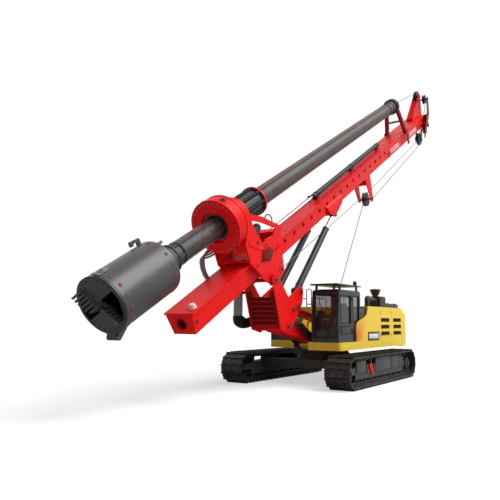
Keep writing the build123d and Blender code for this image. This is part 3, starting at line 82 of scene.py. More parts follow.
class RigColours(bpy.types.PropertyGroup):
    """Paint colours, linear."""
    red: colour("Red", "Paint of the mast and front works", (0.88, 0.009, 0.010))
    yellow: colour("Yellow", "Paint of the hood and deck", (0.97, 0.66, 0.060))
    orange: colour("Orange", "Band beside the fairing", (0.75, 0.16, 0.03))
    black: colour("Black", "Satin black parts", (0.018, 0.018, 0.02))
    steel: colour("Steel", "Bare dark steel of bucket and kelly bar", (0.075, 0.078, 0.076))
    dust: colour("Dust", "Dry soil on low and worn surfaces", (0.17, 0.13, 0.10))
    floor: colour("Floor", "Studio floor", (0.55, 0.55, 0.55))


# Shader maths as expressions

class Wire:
    """An output socket that takes Python's arithmetic."""

    def __init__(self, paint, socket):
        self.paint = paint
        self.socket = socket

    def _maths(self, operation, *values):
        return self.paint.node("ShaderNodeMath", {"operation": operation}, dict(enumerate(values)))

    def __add__(self, other):
        return self._maths("ADD", self, other)

    __radd__ = __add__

    def __sub__(self, other):
        return self._maths("SUBTRACT", self, other)

    def __rsub__(self, other):
        return self._maths("SUBTRACT", other, self)

    def __mul__(self, other):
        return self._maths("MULTIPLY", self, other)

    __rmul__ = __mul__

    def __gt__(self, other):
        return self._maths("GREATER_THAN", self, other)

    def __lt__(self, other):
        return self._maths("LESS_THAN", self, other)

    def __abs__(self):
        return self._maths("ABSOLUTE", self)


class Paint:
    """A material, or the world, under construction."""

    def __init__(self, name, owner=None):
        self.owner = owner or bpy.data.materials.new(name)
        self.owner.use_nodes = True
        self.tree = self.owner.node_tree
        self.tree.nodes.clear()
        self.coords = None

    def node(self, kind, settings=None, inputs=None, output=0):
        """One node, its settings made first, then the values or wires of its sockets."""
        made = self.tree.nodes.new(kind)
        for key, value in (settings or {}).items():
            setattr(made, key, value)
        for key, value in (inputs or {}).items():
            if isinstance(value, Wire):
                self.tree.links.new(value.socket, made.inputs[key])
            else:
                made.inputs[key].default_value = value
        return Wire(self, made.outputs[output]) if made.outputs else None

    def place(self, scale=(1, 1, 1), turn=(0, 0, 0)):
        """Object coordinates, turned and stretched."""
        if self.coords is None:
            self.coords = self.node("ShaderNodeTexCoord", output="Object")
        return self.node("ShaderNodeMapping", {"vector_type": "TEXTURE"},
                         {"Vector": self.coords, "Scale": tuple(1 / x for x in scale), "Rotation": turn})

    def noise(self, size, detail=3.0, place=None):
        """Noise whose grain is about the size given, in metres."""
        return self.node("ShaderNodeTexNoise", None,
                         {"Vector": place or self.place(), "Scale": 1.0 / size, "Detail": detail})

    def bands(self, direction, scale):
        """Even bands across a direction."""
        return self.node("ShaderNodeTexWave", {"bands_direction": direction},
                         {"Vector": self.place(), "Scale": scale})

    def step(self, value, low, high):
        """Smooth step from 0 at low to 1 at high."""
        return self.node("ShaderNodeMapRange", {"interpolation_type": "SMOOTHSTEP"},
                         {"Value": value, "From Min": low, "From Max": high})

    def blend(self, factor, first, second):
        """Mix of two colours."""
        first, second = (each if isinstance(each, Wire) else (*each[:3], 1.0) for each in (first, second))
        return self.node("ShaderNodeMix", {"data_type": "RGBA"}, {0: factor, 6: first, 7: second}, output=2)

    def axis(self, vector, index):
        """One number of a vector."""
        return self.node("ShaderNodeSeparateXYZ", None, {0: vector}, output=index)

    def bump(self, height, distance, strength=0.5):
        """Normal from a height in metres."""
        return self.node("ShaderNodeBump", None,
                         {"Height": height, "Distance": distance, "Strength": strength})

    def finish(self, **sockets):
        """Principled surface with the named sockets, wired to the output."""
        return self.surface(self.node("ShaderNodeBsdfPrincipled", None,
                                      {key.replace("_", " "): value for key, value in sockets.items()}))

    def surface(self, shader, output="ShaderNodeOutputMaterial"):
        """Wires a shader to the output."""
        self.node(output, None, {"Surface": shader})
        return self.owner


def tint(colour, share):
    """Colour made lighter or darker by a share."""
    return tuple(min(1.0, c * share) for c in colour)


def mast_axes(paint):
    """Object coordinates in the mast's directions: s up the mast, n out of its front, y sideways."""
    lean, foot = SIZES["lean"], mast_place().translation
    here = paint.place()
    stations = []
    for axis in ((-cos(lean), 0, sin(lean)), (sin(lean), 0, cos(lean))):
        reach = paint.node("ShaderNodeVectorMath", {"operation": "DOT_PRODUCT"}, {0: here, 1: axis}, 1)
        stations.append(reach - foot.dot(Vector(axis)))
    return stations[0], stations[1], paint.axis(here, 1)


def enamel(name, colour, dust, dusty=0.35, rough=0.3, coat=0.4, change=None):
    """Machine paint: slight fading, orange peel, fine scuffs, and dust that gathers low down."""
    paint = Paint(name)
    height = paint.axis(paint.place(), 2)
    broad = paint.noise(1.6, 2.0)
    fine = paint.noise(0.09, 5.0)
    peel = paint.noise(0.35, 1.0)
    scuff = paint.noise(0.35, 3.0, paint.place((1.0, 1.0, 3.0)))
    base = paint.blend(broad, tint(colour, 0.9), tint(colour, 1.08))
    worn = paint.step(scuff, 0.60, 0.8) * 0.10
    base = paint.blend(worn, base, tint(colour, 0.55))
    low = 1 - paint.step(height, 0.2, 2.2)
    film = paint.step(fine, 0.42, 0.75) * low * dusty
    base = paint.blend(film, base, dust)
    if change:
        base = change(paint, base)
    roughness = film * 0.5 + broad * 0.12 + (rough - 0.06)
    return paint.finish(Base_Color=base, Roughness=roughness, Coat_Weight=coat, Coat_Roughness=0.2,
                        Specular_IOR_Level=0.10, Normal=paint.bump(peel, 0.0006, 0.2))


def satin(name, colour, dust, rough=0.5, dusty=0.3, metallic=0.0):
    """Satin dark finish with a fine grain, rubbed patches and a little dust."""
    paint = Paint(name)
    height = paint.axis(paint.place(), 2)
    broad = paint.noise(0.7, 3.0)
    grain = paint.noise(0.05, 1.0)
    rub = paint.noise(0.12, 5.0)
    base = paint.blend(broad, tint(colour, 0.75), tint(colour, 1.4))
    base = paint.blend(paint.step(rub, 0.62, 0.8) * 0.4, base, tint(colour, 3.0))
    film = paint.step(rub, 0.4, 0.7) * (1 - paint.step(height, 0.3, 2.6)) * dusty
    base = paint.blend(film, base, dust)
    roughness = broad * 0.2 + film * 0.4 + (rough - 0.1)
    return paint.finish(Base_Color=base, Roughness=roughness, Metallic=metallic, Specular_IOR_Level=0.25,
                        Normal=paint.bump(grain + rub * 0.5, 0.0012, 0.4))


# Mesh shapes

SIZES = {}
FINISHES = {}

# Pins, as (s, n) on the mast and as (x, z) on the triangle frame and the deck, metres
MAST_PIN = (3.65, -0.9)
WINCH_PIN = (4.22, -0.83)
STAY_EAR = (8.56, -0.69)
FRAME_PINS = {"mast": (4.05, 3.12), "boom": (3.36, 1.80), "strut": (2.75, 2.38),
              "luff": (3.05, 2.30), "stay": (2.60, 2.85)}
DECK_PINS = {"boom": (0.95, 1.38), "strut": (0.34, 1.96), "luff": (1.25, 1.20)}


def on_middle(pin):
    """Point in the rig's middle plane, from its (x, z)."""
    return Vector((pin[0], 0, pin[1]))


def mast_place():
    """Matrix from the mast's directions (s, n, y) to the rig's frame."""
    pin = on_middle(FRAME_PINS["mast"])
    lean = SIZES["lean"]
    up = Vector((-cos(lean), 0, sin(lean)))
    off = Vector((sin(lean), 0, cos(lean)))
    foot = pin - up * MAST_PIN[0] - off * MAST_PIN[1]
    place = Matrix((up, off, (0, 1, 0))).transposed().to_4x4()
    place.translation = foot
    return place


def turn_to(axis):
    """Rotation that takes +Z to an axis."""
    return Vector(axis).to_track_quat("Z", "Y").to_matrix().to_4x4()


class Form:
    """A mesh under construction, drawn in the rig's or the mast's directions."""

    def __init__(self, place=None):
        self.bm = bmesh.new()
        self.place = place or Matrix.Identity(4)

    def soften(self, edges, bevel):
        """Rounds edges off with a narrow bevel."""
        bmesh.ops.bevel(self.bm, geom=edges, offset=bevel, offset_type="OFFSET", affect="EDGES",
                        segments=2, profile=0.5, material=-1)

    def block(self, centre, size, bevel=0.0, turn=None):
        """Block, bevelled if asked, turned about its own centre."""
        matrix = Matrix.Translation(centre) @ (turn or Matrix.Identity(4)) @ Matrix.Diagonal((*size, 1.0))
        made = bmesh.ops.create_cube(self.bm, size=1.0, matrix=matrix)
        if bevel:
            edges = list(dict.fromkeys(edge for vert in made["verts"] for edge in vert.link_edges))
            self.soften(edges, bevel)
        return self

    def rod(self, start, end, radius, sides=16, tip=None):
        """Round bar, or a cone where the tip has its own radius."""
        start, end = Vector(start), Vector(end)
        matrix = Matrix.Translation((start + end) / 2) @ turn_to(end - start)
        bmesh.ops.create_cone(self.bm, cap_ends=True, segments=sides, radius1=radius, radius2=tip or radius,
                              depth=(end - start).length, matrix=matrix)
        return self

    def ball(self, centre, radius, sides=10):
        """Ball with half as many rings as sides."""
        bmesh.ops.create_uvsphere(self.bm, u_segments=sides, v_segments=sides // 2, radius=radius,
                                  matrix=Matrix.Translation(centre))
        return self

    def lathe(self, centre, axis, profile, sides=32):
        """Spins a closed profile of (radius, height) points about an axis."""
        place = Matrix.Translation(centre) @ turn_to(axis)
        verts = [self.bm.verts.new(place @ Vector((radius, 0, height))) for radius, height in profile]
        edges = [self.bm.edges.new(pair) for pair in zip(verts, verts[1:] + verts[:1])]
        bmesh.ops.spin(self.bm, geom=verts + edges, cent=place.translation,
                       axis=place.to_3x3() @ Vector((0, 0, 1)), angle=2 * pi, steps=sides, use_merge=True)
        return self

    def cap(self, centre, axis, radius, rim, shoulder, rise, top, sides):
        """Round cap: an upright rim, a slope up to its shoulder and a nearly flat top."""
        return self.lathe(centre, axis, ((0.0, 0.0), (radius, 0.0), (radius, rim), (shoulder, rise),
                                         (0.0, top)), sides)

    def ring(self, centre, axis, inner, outer, length, sides=32):
        """Ring of square section about an axis."""
        half = length / 2
        return self.lathe(centre, axis, ((inner, -half), (outer, -half), (outer, half), (inner, half)), sides)

    def plate(self, outline, thickness, bevel=0.0):
        """Flat outline of points, thickened along a vector."""
        face = self.bm.faces.new([self.bm.verts.new(point) for point in outline])
        grown = bmesh.ops.extrude_face_region(self.bm, geom=[face])["geom"]
        moved = [item for item in grown if isinstance(item, bmesh.types.BMVert)]
        bmesh.ops.translate(self.bm, verts=moved, vec=thickness)
        if bevel:
            verts = set(face.verts) | set(moved)
            edges = [edge for edge in self.bm.edges if edge.verts[0] in verts and edge.verts[1] in verts]
            self.soften(edges, bevel)
        return self

    def bolts(self, places, axis, radius=None, height=None):
        """Hexagon heads on a washer, standing out along an axis."""
        radius = radius or SIZES["bolt"]
        height = height or radius
        along = Vector(axis).normalized() * height
        for place in map(Vector, places):
            washer = place + along * 0.25
            self.rod(place, washer, radius * 1.35, 12)
            self.rod(washer, place + along, radius, 6)
        return self

    def rail(self, points, radius=None):
        """Round bar through points, with a ball at each bend."""
        radius = radius or SIZES["rail"]
        for start, end in zip(points, points[1:]):
            self.rod(start, end, radius, 10)
        for point in points[1:-1]:
            self.ball(point, radius)
        return self

    def piece(self, name, body, material, slot, angle=35):
        """The finished object, riding on a body."""
        bmesh.ops.transform(self.bm, matrix=self.place, verts=self.bm.verts)
        bmesh.ops.remove_doubles(self.bm, verts=self.bm.verts, dist=0.00001)
        bmesh.ops.recalc_face_normals(self.bm, faces=self.bm.faces)
        for face in self.bm.faces:
            face.smooth = True
        mesh = bpy.data.meshes.new(name)
        self.bm.to_mesh(mesh)
        self.bm.free()
        mesh.set_sharp_from_angle(angle=radians(angle))
        mesh.materials.append(FINISHES[material])
        return rigged(name, mesh, body)


def rigged(name, data, body):
    """A new piece of the scene, riding on a body."""
    made = bpy.data.objects.new(name, data)
    bpy.context.scene.collection.objects.link(made)
    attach(made, body)
    return made


def on_mast():
    """A form drawn in the mast's directions."""
    return Form(mast_place())


# Numbers of the two axes of each plane: (s, n, y) on the mast, (x, y, z) elsewhere
PLANES = {"ny": (1, 2), "sn": (0, 1), "xz": (0, 2), "xy": (0, 1)}


def circle(centre, radius, count, start=0.0, plane="ny"):
    """Points round a circle in a plane."""
    across, along = PLANES[plane]
    spots = []
    for index in range(count):
        angle = start + 2 * pi * index / count
        spot = list(centre)
        spot[across] += radius * cos(angle)
        spot[along] += radius * sin(angle)
        spots.append(spot)
    return spots


def line(name, points, radius, body, material, place=None, order=3):
    """Hose or rope: a smooth curve with a round section."""
    curve = bpy.data.curves.new(name, "CURVE")
    curve.dimensions = "3D"
    curve.bevel_depth = radius
    curve.bevel_resolution = 3
    curve.resolution_u = 8
    curve.use_fill_caps = True
    spline = curve.splines.new("NURBS")
    spline.points.add(len(points) - 1)
    place = place or Matrix.Identity(4)
    for spot, point in zip(spline.points, points):
        spot.co = (*(place @ Vector(point)), 1.0)
    spline.order_u = order
    spline.use_endpoint_u = True
    curve.materials.append(FINISHES[material])
    return rigged(name, curve, body)


def repaint(material, *names):
    """Gives CAD nodes a finish through their objects' own slots."""
    for name in names:
        node = NODES[name]
        if not node.material_slots:
            node.data.materials.append(FINISHES[material])
            continue
        for slot in node.material_slots:
            slot.link = "OBJECT"
            slot.material = FINISHES[material]


# Finishes of single parts

def gradient_paint(name, colours):
    """Hood paint: yellow that turns to orange towards the curve behind the cab."""
    paint = Paint(name)
    place = paint.place()
    x, y, height = (paint.axis(place, index) for index in range(3))
    broad = paint.noise(1.6, 2.0)
    fine = paint.noise(0.09, 5.0)
    peel = paint.noise(0.35, 1.0)
    low = 1 - paint.step(height, 1.45, 2.30)
    band = paint.step(x + height * 0.55, 0.85, 1.75) * low * (y > 1.5)
    base = paint.blend(broad, tint(colours.yellow, 0.92), tint(colours.yellow, 1.06))
    base = paint.blend(band, base, tuple(colours.orange))
    film = paint.step(fine, 0.5, 0.8) * (1 - paint.step(height, 1.0, 2.4)) * 0.06
    base = paint.blend(film, base, tuple(colours.dust))
    return paint.finish(Base_Color=base, Roughness=film * 0.5 + broad * 0.1 + 0.36, Coat_Weight=0.1,
                        Coat_Roughness=0.2, Specular_IOR_Level=0.12, Normal=paint.bump(peel, 0.0005, 0.2))


def head_change(paint, base):
    """Blackens the rear of the mast head and the top of its auxiliary arm, and darkens what is between with
    painted shade.
    """
    s, n, y = mast_axes(paint)
    rear = paint.step(0 - n, 0.62, 0.80) * (y < 0.5)
    tip = (s > 22.28) * (y > 0.5)
    # Painted shade: the red past 0.55 out to the side is darkened where the head lies in shade.
    shade = paint.step(abs(y), 0.50, 0.55)
    base = paint.blend(shade, base, (0.20, 0.004, 0.006, 1))
    return paint.blend(rear + tip, base, (0.014, 0.012, 0.013, 1))


def guide_change(paint, base):
    """Dark steel ring and grey rung on the kelly guide's legs, whose red is darkened as painted shade."""
    s, n, y = mast_axes(paint)
    out = n - KELLY_OUT
    ring = (out * out + y * y) < 0.352 ** 2
    rung = (n > 0.485) * (n < 0.555) * (abs(y) < 0.30)
    base = paint.blend(rung, base, (0.14, 0.13, 0.13, 1))
    return paint.blend(ring, base, (0.050, 0.052, 0.048, 1))


def triangle_change(paint, base):
    """Painted shade: darker red between the triangle frame's side plates, where its inside lies in shade."""
    shaded_inside = abs(paint.axis(paint.place(), 1)) < 0.4645
    return paint.blend(shaded_inside, base, (0.46, 0.005, 0.006, 1))


def kelly_paint(name, colours):
    """Kelly bar: dark steel rubbed along its length, mottled low down, with dark red on the drive ribs."""
    paint = Paint(name)
    s, n, y = mast_axes(paint)
    out = n - KELLY_OUT
    reach = out * out + y * y
    broad = paint.noise(0.8, 3.0)
    patch = paint.noise(0.11, 5.0)
    rub = paint.noise(0.05, 5.0, paint.place((0.08, 1.0, 0.08), (0, SIZES["lean"], 0)))
    grain = paint.noise(0.05, 1.0)
    shell = (reach > 0.2565 ** 2) * (reach < 0.29 ** 2)
    rib = shell * (s > 1.0) * (s < 17.6) * paint.step(patch, 0.34, 0.56)
    low = 1 - paint.step(s, 4.0, 6.5)
    base = paint.blend(broad, tint(colours.steel, 0.62), tint(colours.steel, 1.1))
    base = paint.blend(paint.step(rub, 0.5, 0.75) * 0.5, base, tint(colours.steel, 1.9))
    base = paint.blend(low * paint.step(patch, 0.42, 0.66) * 0.65, base, tint(colours.steel, 0.28))
    base = paint.blend(rib, base, (0.15, 0.012, 0.014, 1))
    return paint.finish(Base_Color=base, Roughness=rub * 0.25 + 0.36, Metallic=0.15,
                        Specular_IOR_Level=0.3, Normal=paint.bump(grain + rub, 0.0010, 0.12))


def bucket_paint(name, colours, share=1.0):
    """Bucket: dark satin steel with soft stains and fine bright scrapes."""
    paint = Paint(name)
    broad = paint.noise(0.9, 2.0)
    patch = paint.noise(0.26, 3.0)
    scrape = paint.noise(0.03, 6.0)
    grain = paint.noise(0.008, 2.0)
    base = paint.blend(broad, tint(colours.steel, 0.75 * share), tint(colours.steel, 1.15 * share))
    base = paint.blend(paint.step(patch, 0.55, 0.75) * 0.4, base, tint(colours.steel, 0.55 * share))
    base = paint.blend(paint.step(scrape, 0.62, 0.74) * 0.25, base, tint(colours.steel, 1.9 * share))
    return paint.finish(Base_Color=base, Roughness=broad * 0.15 + scrape * 0.15 + 0.22, Metallic=0.3,
                        Specular_IOR_Level=0.4, Normal=paint.bump(grain + scrape, 0.0010, 0.35))


def track_paint(name, colours):
    """Track steel: brown-black, dusty in the hollows and rubbed bright on the edges."""
    paint = Paint(name)
    height = paint.axis(paint.place(), 2)
    soil = paint.noise(0.16, 5.0)
    grain = paint.noise(0.015, 3.0)
    rub = paint.noise(0.07, 4.0)
    base = paint.blend(paint.step(soil, 0.35, 0.7), (0.020, 0.018, 0.016, 1), (0.052, 0.046, 0.040, 1))
    base = paint.blend(paint.step(rub, 0.60, 0.75) * 0.6, base, (0.11, 0.105, 0.10, 1))
    film = paint.step(soil, 0.55, 0.8) * (1 - paint.step(height, 0.05, 0.6)) * 0.5
    base = paint.blend(film, base, tuple(colours.dust))
    return paint.finish(Base_Color=base, Roughness=film * 0.3 + grain * 0.2 + 0.42, Metallic=0.1,
                        Specular_IOR_Level=0.3, Normal=paint.bump(grain + soil, 0.003, 0.45))


def chrome(name):
    """Polished rod with a faint oil film and fine turning marks."""
    paint = Paint(name)
    film = paint.noise(0.35, 4.0)
    mark = paint.noise(0.004, 2.0)
    base = paint.blend(film, (0.62, 0.62, 0.64, 1), (0.80, 0.80, 0.82, 1))
    return paint.finish(Base_Color=base, Metallic=1.0, Roughness=film * 0.14 + 0.08,
                        Normal=paint.bump(mark, 0.0002, 0.2))


def tinted_glass(name):
    """Dark tinted safety glass with a little dust."""
    paint = Paint(name)
    film = paint.noise(0.3, 4.0)
    base = paint.blend(film, (0.030, 0.034, 0.036, 1), (0.055, 0.06, 0.062, 1))
    return paint.finish(Base_Color=base, Roughness=film * 0.05 + 0.02, Alpha=film * 0.10 + 0.30,
                        Coat_Weight=0.5)


def wire_rope(name):
    """Greased steel rope, its strands as a slanting ripple."""
    paint = Paint(name)
    strand = paint.node("ShaderNodeTexWave", {"wave_type": "BANDS", "bands_direction": "DIAGONAL"},
                        {"Vector": paint.place(), "Scale": 14.0, "Distortion": 1.5})
    base = paint.blend(strand, (0.075, 0.075, 0.075, 1), (0.24, 0.24, 0.24, 1))
    return paint.finish(Base_Color=base, Roughness=strand * 0.2 + 0.4, Metallic=0.5,
                        Normal=paint.bump(strand, 0.002, 0.6))


def woven(name):
    """Seat cloth: dark, finely woven."""
    paint = Paint(name)
    warp, weft = paint.bands("Y", 260.0), paint.bands("Z", 260.0)
    broad = paint.noise(0.2, 3.0)
    base = paint.blend(broad, (0.020, 0.020, 0.023, 1), (0.045, 0.045, 0.05, 1))
    return paint.finish(Base_Color=base, Roughness=broad * 0.1 + 0.82,
                        Normal=paint.bump(warp + weft, 0.0008, 0.6))


def lens(name, colour):
    """Lamp lens with moulded ribs."""
    paint = Paint(name)
    rib = paint.bands("Z", 26.0)
    base = paint.blend(rib, tint(colour, 0.8), tint(colour, 1.1))
    return paint.finish(Base_Color=base, Roughness=rib * 0.1 + 0.12, Coat_Weight=0.6,
                        Normal=paint.bump(rib, 0.002, 0.4))


class RIG_OT_finishes(bpy.types.Operator):
    """Make the finishes and put them on the CAD nodes"""
    bl_idname = "rig.finishes"
    bl_label = "Finishes"

    def execute(self, context):
        colours = context.scene.rig_colours
        dust = tuple(colours.dust)
        FINISHES.update({
            "red": enamel("Red enamel", colours.red, dust, 0.12, 0.42, 0.03),
            # Mast head enamel carries painted shade besides its blackened parts.
            "head": enamel("Mast head enamel", colours.red, dust, 0.0, 0.42, 0.03, head_change),
            # Triangle enamel carries painted shade: the red between its side plates is darkened.
            "triangle": enamel("Triangle enamel", colours.red, dust, 0.0, 0.42, 0.03, triangle_change),
            # Painted shade: the kelly guide's red is darkened to a dark red that stands for the shade on its
            # legs.
            "guide": enamel("Guide enamel", tint(colours.red, 0.30), dust, 0.0, 0.5, 0.05, guide_change),
            # Painted shade: a darker copy of the red for faces that lie in shade, on the arm braces, carriage
            # brackets and triangle flanges.
            "shade_red": enamel("Shaded red enamel", tint(colours.red, 0.22), dust, 0.1, 0.5, 0.05),
            "rust": satin("Rusty red", (0.24, 0.035, 0.045), dust, 0.6, 0.0),
            "faded": enamel("Faded panel", (0.86, 0.36, 0.34), dust, 0.0, 0.5, 0.05),
            "yellow": enamel("Yellow enamel", colours.yellow, dust, 0.12, 0.42, 0.1),
            "hood": gradient_paint("Hood enamel", colours),
            "black": satin("Black satin", colours.black, dust, 0.38),
            "dark": satin("Dark grey satin", (0.035, 0.036, 0.038), dust, 0.45),
            "cab": satin("Cab grey satin", (0.030, 0.033, 0.035), dust, 0.34, 0.1),
            "rubber": satin("Rubber", (0.014, 0.014, 0.015), dust, 0.7, 0.4),
            "hose": satin("Hose", (0.10, 0.10, 0.105), dust, 0.5, 0.2),
            "slate": satin("Slate grey", (0.062, 0.064, 0.066), dust, 0.45, 0.1),
            # Painted shade: very dark red for the strips that stand for the shade between the triangle
            # frame's ribs.
            "rib_shade_red": enamel("Rib shade red enamel", tint(colours.red, 0.15), dust, 0.0, 0.6, 0.0),
            "grey": satin("Grey hose", (0.30, 0.31, 0.31), dust, 0.55, 0.1),
            "trim": satin("Cab trim", (0.035, 0.035, 0.038), dust, 0.75, 0.1),
            "sheave": satin("Sheave steel", (0.022, 0.021, 0.022), dust, 0.4, 0.1, 0.4),
            "bolt": satin("Bolt steel", (0.20, 0.20, 0.20), dust, 0.4, 0.3, 0.8),
            "pale": satin("Pale plate", (0.75, 0.75, 0.75), dust, 0.45, 0.0),
            "track": track_paint("Track steel", colours),
            "kelly": kelly_paint("Kelly steel", colours),
            "bucket": bucket_paint("Bucket steel", colours),
            "flap": bucket_paint("Flap steel", colours, 0.6),
            "chrome": chrome("Chrome rod"),
            "glass": tinted_glass("Tinted glass"),
            "rope": wire_rope("Wire rope"),
            "cloth": woven("Seat cloth"),
            "lamp": lens("Lamp lens", (0.72, 0.72, 0.70)),
            "amber": lens("Amber lens", (0.80, 0.25, 0.02)),
        })
        repaint("red", "mast_lower", "mast_upper", "rope_bracket", "boom", "strut", "carriage", "drive_head")
        repaint("triangle", "triangle_frame")
        repaint("head", "mast_head")
        repaint("guide", "kelly_guide")
        repaint("yellow", "deck", "counterweight")
        repaint("hood", "hood")
        repaint("cab", "cab_shell", "cab_door", "side_cabinet")
        repaint("black", "cab_guard", "cab_rail", "air_cleaner", "silencer", "crowd_barrel", "luff_barrels",
                "mast_barrels")
        repaint("dark", "centre_frame", "track_frames", "engine_block", "tank", "drive_motors",
                "drive_sleeve")
        repaint("track", "track_left", "track_right", "front_idlers", "drive_sprockets", "track_rollers",
                "slew_ring")
        repaint("sheave", "head_sheave", "rear_sheave", "aux_sheave", "bracket_sheave", "main_winch",
                "aux_winch")
        repaint("chrome", "crowd_rod", "luff_rods", "mast_rods")
        repaint("kelly", "kelly_bar")
        repaint("bucket", "drilling_bucket")
        repaint("flap", "bucket_flap")
        repaint("glass", "cab_glass", "door_glass")
        repaint("trim", "cab_console")
        repaint("cloth", "operator_seat")
        return {"FINISHED"}


# Directions, stations and sizes on the mast and the kelly bar, metres and radians

UP = (1, 0, 0)
DOWN = (-1, 0, 0)
KELLY_OUT = 1.25
CROWD_OUT = 0.155
HOLE_FIRST = 4.88
HOLE_PITCH = 0.665
HOLE_COUNT = 16
HOLE_N = -0.205
WALL_MIDDLE = -0.27
WALL_Y = 0.395
WALL_N = -0.04
SIDE_SLOPE = (WALL_Y - 0.3275) / 0.51
JOINT_S = 15.4
FOOT_EYE = (0.12, -0.288)
HEAD_FRONT = (22.56, 0.88)
HEAD_REAR = (21.56, -1.17)
AUX_FRONT = (22.42, 0.70)
BRACKET = (12.56, -1.5)
HEAD_SHEAVE = 0.33
AUX_SHEAVE = 0.24
BRACKET_SHEAVE = 0.29
GROOVE_DEPTH = 0.045
TEETH_ANGLE = radians(52)


def web(n):
    """Sideways place of the mast's side wall at n."""
    return WALL_Y + (n - WALL_N) * SIDE_SLOPE


def out_of_web(side):
    """Direction out of the mast's side wall."""
    return Vector((0, -SIDE_SLOPE, side)).normalized()


def on_wall(s, n, side, out=0.0):
    """Point on the mast's side wall, or a little out of it."""
    return Vector((s, n, side * (web(n) + out)))


def on_kelly(s, y=0.0):
    """Point on the kelly bar's axis, or beside it."""
    return (s, KELLY_OUT, y)


def wall_turn(side):
    """Turn that lays a block on the mast's side wall."""
    return Matrix.Rotation(-side * SIDE_SLOPE, 4, "X")


